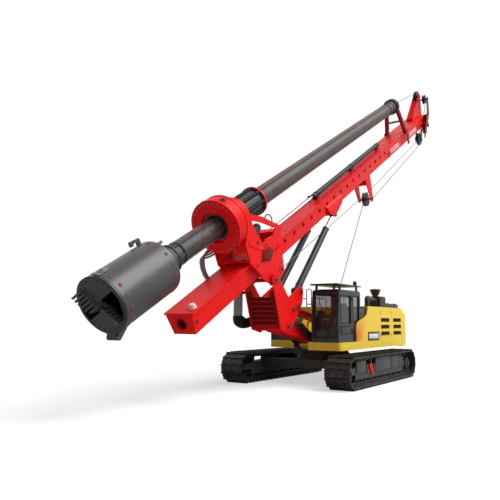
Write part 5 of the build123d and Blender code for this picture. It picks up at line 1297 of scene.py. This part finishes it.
def cushion(name, centre, size, turn=Matrix.Identity(4)):
    """Foam cushion: a cloth skin with stitched lines, blown up a little by its filling."""
    form = Form()
    form.block((0, 0, 0), size, 0.03)
    longest = max(size)
    cuts = max(6, int(longest / 0.03))
    for _ in range(2):
        edges = [edge for edge in form.bm.edges if edge.calc_length() > longest / cuts * 2]
        bmesh.ops.subdivide_edges(form.bm, edges=edges, cuts=5, use_grid_fill=True)
    made = form.piece(name, "upper", "cloth", "seat_cloth")
    remesh = made.modifiers.new("Even", "REMESH")
    remesh.mode = "VOXEL"
    remesh.voxel_size = CUSHION_GRAIN
    remesh.use_smooth_shade = True
    bpy.context.view_layer.objects.active = made
    made.select_set(True)
    bpy.ops.object.modifier_apply(modifier=remesh.name)
    half = Vector(size) / 2
    seams = made.vertex_groups.new(name="seams")
    seams.add([vert.index for vert in made.data.vertices if stitched(vert.co, half)], 1.0, "REPLACE")
    blow_up(made)
    made.vertex_groups.remove(made.vertex_groups["seams"])
    made.data.transform(Matrix.Translation(centre) @ turn)
    made.select_set(False)
    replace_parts(made, "operator_seat")


class RIG_OT_seat(bpy.types.Operator):
    """Padded seat in the cab"""
    bl_idname = "rig.seat"
    bl_label = "Seat cushions"

    def execute(self, context):
        upright = Matrix.Rotation(radians(-98), 4, "Y")
        cushion("seat_squab", (1.09, CAB_MIDDLE, 1.775), (0.52, 0.50, 0.13))
        cushion("seat_back", (0.85, CAB_MIDDLE, 2.12), (0.60, 0.48, 0.12), upright)
        cushion("seat_headrest", (0.80, CAB_MIDDLE, 2.455), (0.15, 0.28, 0.10), upright)
        posts = Form()
        for y in (0.98, 1.12):
            posts.rod((0.81, y, 2.36), (0.80, y, 2.44), 0.01, 10)
        for y in (0.86, 1.24):
            posts.rod((1.0, y, 1.72), (0.90, y, 1.90), 0.018, 12)
        posts.block((0.83, CAB_MIDDLE, 2.12), (0.03, 0.40, 0.5), 0.01, Matrix.Rotation(radians(-8), 4, "Y"))
        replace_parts(posts.piece("seat_posts", "upper", "trim", "cab_trim"), "operator_seat")
        return {"FINISHED"}


# Hood, metres

HOOD_TOP = 2.45
HOOD_REAR = -4.07
SIDE_RAIL_Y = -1.50
LOUVRE_COLUMNS = (-1.69, -2.93)
LOUVRE_ROWS = (1.545, 1.775, 2.01)
PLATE_X = -0.55
PLATE_Z = 1.475
CLEANER_Y = 1.15
CAP_X = -1.86


class RIG_OT_hood(bpy.types.Operator):
    """Louvre frames, panel seams, latches, the blank light plate and top fittings of the hood"""
    bl_idname = "rig.hood"
    bl_label = "Hood and counterweight fittings"

    def execute(self, context):
        self.louvres()
        self.seams()
        self.plate()
        self.intake()
        self.rails()
        self.eyes()
        self.lamps()
        return {"FINISHED"}

    def louvres(self):
        """Frames and slanting slats of the louvres on both sides."""
        frames, slats = Form(), Form()
        spots = [(side, x, z) for side in (1, -1) for x in LOUVRE_COLUMNS for z in LOUVRE_ROWS]
        for side, column, row in spots:
            y = side * 1.562
            for z in (-0.07, 0.07):
                frames.block((column, y, row + z), (0.86, 0.012, 0.012), 0.003)
            for x in (-0.422, 0.422):
                frames.block((column + x, y, row), (0.012, 0.012, 0.15), 0.003)
            for z in (-0.0217, 0.0217):
                slats.block((column, side * 1.546, row + z), (0.829, 0.034, 0.020), 0.003)
            for z in (-0.042, 0.0, 0.042):
                slats.block((column, side * 1.535, row + z), (0.828, 0.04, 0.008), 0.0,
                            Matrix.Rotation(side * 0.6, 4, "X"))
            slats.block((column, side * 1.50, row), (0.84, 0.01, 0.14), 0.003)
        frames.piece("louvre_frames", "upper", "yellow", "yellow_paint")
        slats.piece("louvre_slats", "upper", "rubber", "black_parts")

    def seams(self):
        """Seams between the hood's panels, their latches and hinges."""
        seams, latches = Form(), Form()
        for side in (1, -1):
            for x in (-1.21, -2.31, -3.385):
                seams.block((x, side * 1.5605, 1.88), (0.004, 0.003, 1.06))
        seams.block((-1.8, 0, 2.4555), (0.010, 2.6, 0.003))
        for y in (-0.72, 0.72):
            seams.block((-1.95, y, 2.4555), (2.7, 0.010, 0.003))
        seams.block((-4.072, 0, 1.75), (0.004, 2.2, 0.012))
        seams.piece("panel_seams", "upper", "yellow", "yellow_paint")
        for side in (1, -1):
            for x in (-1.27, -2.25, -2.37, -3.32):
                latches.ring((x, side * 1.563, 1.43), (0, side, 0), 0.014, 0.028, 0.01, 18)
                latches.rod((x, side * 1.556, 1.43), (x, side * 1.566, 1.43), 0.015, 14)
            for x in (-1.21, -2.31):
                for z in (1.50, 2.28):
                    latches.rod((x, side * 1.57, z - 0.05), (x, side * 1.57, z + 0.05), 0.012, 10)
        latches.piece("hood_latches", "upper", "yellow", "yellow_paint")

    def plate(self):
        """The blank light plate and its dark rim."""
        plate, rim = Form(), Form()
        plate.block((PLATE_X, 1.566, PLATE_Z), (0.84, 0.012, 0.17), 0.02)
        plate.piece("light_plate", "upper", "pale", "yellow_paint")
        for z in (-0.110, 0.110):
            rim.block((PLATE_X, 1.568, PLATE_Z + z), (0.98, 0.020, 0.060), 0.008)
        for x in (-0.455, 0.455):
            rim.block((PLATE_X + x, 1.568, PLATE_Z), (0.06, 0.020, 0.28), 0.008)
        rim.piece("light_plate_rim", "upper", "black", "black_parts")

    def intake(self):
        """Intake elbow and the bands of the air cleaner, its rain cap and the silencer."""
        elbow = [(-0.66, 1.30, 2.43), (-0.66, 1.30, 2.60), (-0.66, 1.30, 2.76), (-0.90, 1.28, 2.77),
                 (-1.79, 1.18, 2.70)]
        line("intake_elbow", elbow, 0.075, "upper", "black")
        bands, up = Form(), (0, 0, 1)
        for x in (-2.22, -1.94):
            bands.block((x, CLEANER_Y, 2.655), (0.04, 0.434, 0.394), 0.012)
        bands.ring((-0.66, 1.30, 2.49), up, 0.073, 0.09, 0.04, 28)
        bands.ring((-1.80, 1.18, 2.70), (1, -0.11, 0.08), 0.073, 0.093, 0.04, 28)
        bands.ring((CAP_X, CLEANER_Y, 3.075), up, 0.186, 0.198, 0.03, 40)
        bands.lathe((CAP_X, CLEANER_Y, 3.083), up, ((0.0, 0.0), (0.19, 0.0), (0.175, 0.018), (0.10, 0.034),
                                                    (0.0, 0.038)), 40)
        bands.ring((CAP_X, CLEANER_Y, 2.87), up, 0.103, 0.117, 0.03, 28)
        for x in (-2.62, -3.30):
            bands.block((x, CLEANER_Y, 2.542), (0.04, 0.434, 0.172), 0.012)
        bands.piece("intake_bands", "upper", "dark", "black_parts")

    def rails(self):
        """Handrails on the hood and beside the side cabinet, and the side steps."""
        rails, steps = Form(), Form()
        for y, rear, front, top in ((0.35, -0.9, -1.6, 2.80), (SIDE_RAIL_Y, -0.9, -1.6, 2.80),
                                    (-1.45, -3.2, -1.9, 2.85)):
            rails.rail([(rear, y, HOOD_TOP), (rear, y, top), (front, y, top), (front, y, HOOD_TOP)])
        cabinet = ((0.86, 2.02), (0.86, 2.40), (0.0, 2.40), (0.0, 2.04))
        rails.rail([(x, SIDE_RAIL_Y, z) for x, z in cabinet])
        grab = ((0.90, 1.40), (0.98, 1.42), (0.98, 1.95), (0.88, 1.98))
        rails.rail([(x, -1.46, z) for x, z in grab])
        rails.piece("handrails", "upper", "black", "black_parts")
        for z in (1.14, 1.24):
            steps.block((0.55, -1.60, z), (0.45, 0.09, 0.02), 0.005)
        for x in (0.34, 0.76):
            steps.block((x, -1.575, 1.20), (0.02, 0.04, 0.18), 0.005)
        steps.piece("side_steps", "upper", "black", "black_parts")

    def eyes(self):
        """Lifting eyes on the counterweight's top and rear."""
        eyes, x = Form(), -3.72
        for y in (-0.9, 0.9):
            eyes.ring((x, y, 2.49), (0, 1, 0), 0.045, 0.08, 0.04, 24)
            eyes.block((x, y, 2.455), (0.2, 0.07, 0.02), 0.005)
        for y in (-1.2, 1.2):
            eyes.ring((HOOD_REAR + 0.002, y, 1.45), (-1, 0, 0), 0.05, 0.075, 0.03, 24)
        eyes.piece("lifting_eyes", "upper", "yellow", "yellow_paint")

    def lamps(self):
        """Rear lamps and the work lamps on the side cabinet."""
        lamps, cases = Form(), Form()
        for y in (-1.2, 1.2):
            cases.block((HOOD_REAR - 0.005, y, 1.75), (0.04, 0.22, 0.12), 0.012)
            lamps.block((HOOD_REAR - 0.022, y, 1.75), (0.02, 0.19, 0.09), 0.008)
        for y in (-1.32, -0.72):
            cases.block((0.90, y, 2.09), (0.08, 0.16, 0.12), 0.014)
            cases.rod((0.84, y, 2.02), (0.90, y, 2.06), 0.014, 10)
            lamps.block((0.942, y, 2.09), (0.012, 0.135, 0.095), 0.006)
        cases.piece("lamp_cases", "upper", "black", "black_parts")
        lamps.piece("lamp_lenses", "upper", "lamp", "dark_paint")


# Crawlers, metres

WHEEL_Z = 0.49
LINK_RADIUS = 0.98 / 2 - 0.075
SHOE_COUNT = 58
SHOE_PITCH = pi * LINK_RADIUS / 6
WHEEL_X = 23 * SHOE_PITCH / 2
TRACK_Y = 1.81
FRAME_FACE = 1.998
GROUSER_LIFT = 0.029


def shoe_place(run):
    """Place (x, z) of a shoe at a run round the track's loop, and the angle that it faces."""
    straight, bend = 2 * WHEEL_X, pi * LINK_RADIUS
    if run < straight:
        return -WHEEL_X + run, WHEEL_Z + LINK_RADIUS, 0.0
    if run < straight + bend:
        angle = (run - straight) / LINK_RADIUS
        return WHEEL_X + LINK_RADIUS * sin(angle), WHEEL_Z + LINK_RADIUS * cos(angle), angle
    if run < 2 * straight + bend:
        return WHEEL_X - (run - straight - bend), WHEEL_Z - LINK_RADIUS, pi
    angle = pi + (run - 2 * straight - bend) / LINK_RADIUS
    return -WHEEL_X + LINK_RADIUS * sin(angle), WHEEL_Z + LINK_RADIUS * cos(angle), angle


class RIG_OT_tracks(bpy.types.Operator):
    """Shoe bolts, link pins, liners, hub covers and travel fittings of the crawlers"""
    bl_idname = "rig.tracks"
    bl_label = "Crawler fittings"

    def execute(self, context):
        self.shoes()
        self.liners()
        self.wheels()
        self.frames()
        ring = Form()
        ring.bolts(circle((0, 0, 0.958), 0.80, 36, plane="xy"), (0, 0, 1), 0.016, 0.018)
        ring.piece("slew_ring_bolts", "undercarriage", "bolt", "dark_paint")
        return {"FINISHED"}

    def shoes(self):
        """Four bolts on each shoe and the ends of its link's pin."""
        bolts, pins = Form(), Form()
        for side in (1, -1):
            for index in range(SHOE_COUNT):
                x, z, angle = shoe_place(index * SHOE_PITCH)
                out = Vector((sin(angle), 0, cos(angle)))
                along = Vector((cos(angle), 0, -sin(angle)))
                at = Vector((x, side * TRACK_Y, z))
                for across in (-0.13, 0.13):
                    for ahead in (-0.02, 0.06):
                        spot = at + out * GROUSER_LIFT + along * ahead + Vector((0, across, 0))
                        bolts.rod(spot, spot + out * 0.016, 0.013, 6)
                for end, sides in ((side, 12), (-side, 10)):
                    spot = at - out * 0.06 + Vector((0, end * 0.163, 0))
                    pins.rod(spot, spot + Vector((0, end * 0.012, 0)), 0.027, sides)
        bolts.piece("shoe_bolts", "undercarriage", "bolt", "track_steel")
        pins.piece("link_pins", "undercarriage", "track", "track_steel")

    def liners(self):
        """Thin liners inside the shoes, as four closed loops of square section."""
        liner = Form()
        inner, outer = 0.400, 0.4145
        turns = [(end * WHEEL_X, radians(90 - 15 * step) - (end < 0) * pi)
                 for end in (1, -1) for step in range(13)]
        for side in (1, -1):
            for near, far in ((1.43, 1.64), (1.98, 2.19)):
                section = ((inner, near), (outer, near), (outer, far), (inner, far))
                loop = [[liner.bm.verts.new((x + reach * cos(angle), side * y, WHEEL_Z + reach * sin(angle)))
                         for reach, y in section] for x, angle in turns]
                for first, second in zip(loop, loop[1:] + loop[:1]):
                    for corner in range(4):
                        after = corner - 3
                        liner.bm.faces.new((first[corner], first[after], second[after], second[corner]))
        liner.piece("track_liners", "undercarriage", "track", "track_steel")

    def wheels(self):
        """Hub covers with their bolts, and the caps of the rollers."""
        hubs, heads, caps = Form(), Form(), Form()
        for side in (1, -1):
            out = (0, side, 0)
            for x, radius in ((WHEEL_X, 0.12), (-WHEEL_X, 0.19)):
                hubs.lathe((x, side * FRAME_FACE, 0.50), out, (
                    (0.0, 0.0), (radius, 0.0), (radius, 0.03), (radius * 0.82, 0.045), (radius * 0.55, 0.055),
                    (radius * 0.5, 0.085), (0.0, 0.09)), 36)
                ring = circle((x, side * (FRAME_FACE + 0.036), 0.50), radius * 0.88, 12, plane="xz")
                heads.bolts(ring, out, 0.012, 0.014)
            for index in range(8):
                x = -1.9 + index * 3.8 / 7
                caps.cap((x, side * FRAME_FACE, 0.26), out, 0.052, 0.012, 0.03, 0.022, 0.024, 20)
            for x in (-0.85, 0.85):
                caps.cap((x, side * FRAME_FACE, 0.74), out, 0.045, 0.012, 0.026, 0.02, 0.022, 20)
        hubs.piece("hub_covers", "undercarriage", "dark", "dark_paint")
        heads.piece("hub_bolts", "undercarriage", "bolt", "dark_paint")
        caps.piece("roller_caps", "undercarriage", "dark", "dark_paint")

    def frames(self):
        """Raised panels of the track frames and the red tensioner valves."""
        panels, valve = Form(), Form()
        for side in (1, -1):
            for start, end, low, high in ((-0.86, 0.52, 0.40, 0.84), (-1.62, -0.90, 0.40, 0.82),
                                          (-1.94, -1.64, 0.42, 0.80), (-2.12, -1.97, 0.42, 0.74),
                                          (1.30, 2.02, 0.44, 0.80)):
                middle = ((start + end) / 2, side * 2.008, (low + high) / 2)
                panels.block(middle, (end - start, 0.04, high - low), 0.014)
            for x in (0.62, 1.20):
                panels.block((x, side * 2.012, 0.53), (0.10, 0.04, 0.24), 0.012)
            valve.cap((0.90, side * FRAME_FACE, 0.535), (0, side, 0), 0.085, 0.03, 0.06, 0.045, 0.05, 28)
            valve.block((0.94, side * 2.02, 0.60), (0.22, 0.05, 0.12), 0.02)
            valve.block((0.84, side * 2.02, 0.45), (0.16, 0.05, 0.20), 0.02)
        panels.piece("track_frame_panels", "undercarriage", "slate", "dark_paint")
        valve.piece("tensioner_valves", "undercarriage", "red", "red_paint")


# Ropes: where they meet the sheaves, as angles about their pins, and where the drum is

HEAD_OFF = radians(-35)
REAR_OFF = radians(-92)
BRACKET_ON = radians(-90)
BRACKET_OFF = radians(-172)
AUX_ROPE_Y = 0.17
MAIN_DRUM = (-0.3, 0.0, 1.83)


def round_sheave(pin, radius, start, end, count=10):
    """Points round a sheave between two angles, in the mast's side view."""
    angles = [start + (end - start) * index / count for index in range(count + 1)]
    return [(pin[0] + radius * cos(angle), pin[1] + radius * sin(angle), 0.0) for angle in angles]


class RIG_OT_lines(bpy.types.Operator):
    """Wire ropes, their coils on the winches and the triangle frame's hoses"""
    bl_idname = "rig.lines"
    bl_label = "Ropes and hoses"

    def execute(self, context):
        self.ropes()
        self.coils()
        self.hoses()
        return {"FINISHED"}

    def ropes(self):
        """The kelly rope over its sheaves to the main winch, and the thinner auxiliary rope."""
        rope = SIZES["rope"]
        on_head, on_bracket = (radius - GROOVE_DEPTH + rope for radius in (HEAD_SHEAVE, BRACKET_SHEAVE))

        def run(name, points, order=2, radius=rope, place=mast_place()):
            """One stretch of rope, straight between its points or bent round a sheave."""
            line(name, points, radius, "mast", "rope", place, order)

        over_head = round_sheave(HEAD_FRONT, on_head, pi / 2, HEAD_OFF)
        over_rear = round_sheave(HEAD_REAR, on_head, HEAD_OFF, REAR_OFF)
        under_bracket = round_sheave(BRACKET, on_bracket, BRACKET_ON, BRACKET_OFF)
        fall = [(s, KELLY_OUT - inward, 0) for s, inward in ((19.06, 0.0), (20.2, 0.03), (21.6, 0.065))]
        run("kelly_rope_fall", [*fall, (HEAD_FRONT[0], HEAD_FRONT[1] + on_head, 0)])
        run("kelly_rope_head", over_head, 3)
        run("kelly_rope_span", [over_head[-1], over_rear[0]])
        run("kelly_rope_rear", over_rear, 3)
        run("kelly_rope_back", [over_rear[-1], (BRACKET[0], BRACKET[1] - on_bracket, 0)])
        run("kelly_rope_bracket", under_bracket, 3)
        drum = (MAIN_DRUM[0] - 0.19, 0.0, MAIN_DRUM[2] + 0.09)
        run("main_rope", [mast_place() @ Vector(under_bracket[-1]), drum], place=None)

        low = (BRACKET[0] + 0.1, -1.2, AUX_ROPE_Y)
        high = (HEAD_REAR[0], HEAD_REAR[1] + 0.1, AUX_ROPE_Y)
        thin = rope * 0.8
        run("aux_rope_back", [low, high], radius=thin)
        run("aux_rope", [low, (WINCH_PIN[0] + 0.08, WINCH_PIN[1] - 0.14, AUX_ROPE_Y)], radius=thin)
        run("aux_rope_head", [high, (AUX_FRONT[0] + 0.1, AUX_FRONT[1] - 0.2, 0.4)], radius=thin)

    def coils(self):
        """Rope wound on the two winches' drums."""
        drum, small = Form(), on_mast()
        for coil in range(22):
            middle = (MAIN_DRUM[0], -0.36 + coil * 0.034, MAIN_DRUM[2])
            drum.ring(middle, (0, 1, 0.02), 0.205, 0.236, 0.028, 28)
            small.ring((*WINCH_PIN, -0.28 + coil * 0.026), (0, 0.02, 1), 0.115, 0.140, 0.021, 24)
        drum.piece("main_winch_rope", "winch", "rope", "sheave_steel")
        small.piece("aux_winch_rope", "aux_drum", "rope", "sheave_steel")

    def hoses(self):
        """Five hoses down the triangle frame and their loops back under it, in clamps."""
        for index in range(5):
            y, back, lift = -0.80 - index * 0.012, 0.375 + 0.11 * index, 0.055 * index
            down = [(4.60 - back, y, 2.80), (4.60 - back, y, 2.40), (4.61 - back, y, 2.06)]
            line("triangle_hose_%d" % index, down, 0.028, "triangle", "grey")
            loop = [(4.61 - back, y, 2.10), (4.64 - back, y, 1.92 + lift * 0.8),
                    (4.34 - back * 0.9, y, 1.79 + lift), (3.68 - 0.03 * index, y, 1.77 + lift),
                    (3.40, y + 0.08, 1.84 + lift), (3.30, -0.52, 1.86 + lift)]
            line("triangle_loop_%d" % index, loop, 0.040, "triangle", "rubber")
        clamps = Form()
        clamps.block((4.00, -0.83, 2.80), (0.60, 0.11, 0.09), 0.012)
        clamps.block((3.80, -0.69, 2.80), (0.09, 0.39, 0.07), 0.012)
        clamps.block((3.29, -0.525, 1.98), (0.10, 0.05, 0.40), 0.012)
        clamps.piece("triangle_hose_clamps", "triangle", "black", "black_parts")


# Stage, in metres and degrees

FLOOR_REACH = 400.0
FLOOR_GLOW = 0.56
SKY_STRENGTH = 0.22
KEY_STRENGTH = 3.1
KEY_ANGLE = 48
KEY_FROM = (-0.28, 0.70, 0.94)
CAMERA_AT = (17.94, 8.74, 1.97)
CAMERA_YAW = 213.31
CAMERA_PITCH = 7.03
CAMERA_ROLL = 0.22
LENS_MM = 41.2
SENSOR_MM = 36.0


class RIG_OT_stage(bpy.types.Operator):
    """Pale floor, soft studio light and the photograph's camera"""
    bl_idname = "rig.stage"
    bl_label = "Stage"

    def floor(self, scene):
        """Pale floor that keeps the shadow and glows for the camera alone."""
        mesh = bpy.data.meshes.new("floor")
        bm = bmesh.new()
        bmesh.ops.create_grid(bm, x_segments=1, y_segments=1, size=FLOOR_REACH)
        bm.to_mesh(mesh)
        bm.free()
        floor = bpy.data.objects.new("floor", mesh)
        scene.collection.objects.link(floor)
        paint = Paint("Floor")
        shade = tuple(scene.rig_colours.floor)
        faint = paint.noise(3.0, 2.0)
        base = paint.blend(faint, tint(shade, 0.99), tint(shade, 1.01))
        matte = paint.node("ShaderNodeBsdfDiffuse", None, {"Color": base})
        glow = paint.node("ShaderNodeEmission", None, {"Color": (1, 1, 1, 1), "Strength": FLOOR_GLOW})
        seen = paint.node("ShaderNodeLightPath", output="Is Camera Ray")
        veil = paint.node("ShaderNodeAddShader", None, {0: matte, 1: glow})
        mesh.materials.append(paint.surface(paint.node("ShaderNodeMixShader", None,
                                                       {0: seen, 1: matte, 2: veil})))

    def sky(self, scene):
        """White world, bright to the camera, in reflections and through glass, and soft as light."""
        paint = Paint("Studio", bpy.data.worlds.new("Studio"))
        seen = paint.node("ShaderNodeLightPath", output="Is Camera Ray")
        for ray in ("Is Glossy Ray", "Is Transmission Ray"):
            path = paint.node("ShaderNodeLightPath", output=ray)
            seen = paint.node("ShaderNodeMath", {"operation": "MAXIMUM"}, {0: seen, 1: path})
        white = (1, 1, 1, 1)
        soft, bright = (paint.node("ShaderNodeBackground", None, {"Color": white, "Strength": strength})
                        for strength in (SKY_STRENGTH, 1.0))
        mixed = paint.node("ShaderNodeMixShader", None, {0: seen, 1: soft, 2: bright})
        scene.world = paint.surface(mixed, "ShaderNodeOutputWorld")

    def key(self, scene):
        """Broad, soft sun from behind the cab's side."""
        sun = bpy.data.lights.new("Key", "SUN")
        sun.energy = KEY_STRENGTH
        sun.angle = radians(KEY_ANGLE)
        key = bpy.data.objects.new("Key", sun)
        key.matrix_world = turn_to(KEY_FROM)
        scene.collection.objects.link(key)

    def camera(self, scene):
        """Camera where the photograph was taken from."""
        optics = bpy.data.cameras.new("Photo camera")
        optics.lens = LENS_MM
        optics.sensor_width = SENSOR_MM
        optics.clip_end = FLOOR_REACH + 100.0
        camera = bpy.data.objects.new("Photo camera", optics)
        yaw, pitch = radians(CAMERA_YAW), radians(CAMERA_PITCH)
        ahead = Vector((cos(pitch) * cos(yaw), cos(pitch) * sin(yaw), sin(pitch)))
        right = Vector((sin(yaw), -cos(yaw), 0))
        level = Matrix((right, right.cross(ahead), -ahead)).transposed().to_4x4()
        roll = Matrix.Rotation(radians(CAMERA_ROLL), 4, "Z")
        camera.matrix_world = Matrix.Translation(CAMERA_AT) @ level @ roll
        scene.collection.objects.link(camera)
        scene.camera = camera

    def execute(self, context):
        scene = context.scene
        self.floor(scene)
        self.sky(scene)
        self.key(scene)
        self.camera(scene)
        scene.view_settings.view_transform = "Standard"
        return {"FINISHED"}


# Panel, registration and the run

STEPS = (RIG_OT_finishes, RIG_OT_mast, RIG_OT_head, RIG_OT_kelly, RIG_OT_drive, RIG_OT_bucket, RIG_OT_front,
         RIG_OT_cab, RIG_OT_seat, RIG_OT_hood, RIG_OT_tracks, RIG_OT_lines, RIG_OT_stage)


class RIG_PT_panel(bpy.types.Panel):
    """Sizes, colours and a button for each group of pieces"""
    bl_idname = "RIG_PT_panel"
    bl_label = "Piling Rig"
    bl_space_type = "VIEW_3D"
    bl_region_type = "UI"
    bl_category = "Piling Rig"

    def draw(self, context):
        for group in (context.scene.rig_sizes, context.scene.rig_colours):
            for name in group.bl_rna.properties.keys():
                if name not in ("rna_type", "name"):
                    self.layout.prop(group, name)
        for step in STEPS:
            self.layout.operator(step.bl_idname)


CLASSES = (RigSizes, RigColours) + STEPS + (RIG_PT_panel,)


def register():
    for cls in CLASSES:
        bpy.utils.register_class(cls)
    bpy.types.Scene.rig_sizes = bpy.props.PointerProperty(type=RigSizes)
    bpy.types.Scene.rig_colours = bpy.props.PointerProperty(type=RigColours)


def unregister():
    del bpy.types.Scene.rig_colours
    del bpy.types.Scene.rig_sizes
    for cls in reversed(CLASSES):
        bpy.utils.unregister_class(cls)


def main():
    register()
    sizes = bpy.context.scene.rig_sizes
    SIZES.update({name: getattr(sizes, name) for name in ("lean", "rope", "hose", "bolt", "rail")})
    for step in STEPS:
        group, name = step.bl_idname.split(".")
        getattr(getattr(bpy.ops, group), name)()


if __name__ == "__main__":
    main()
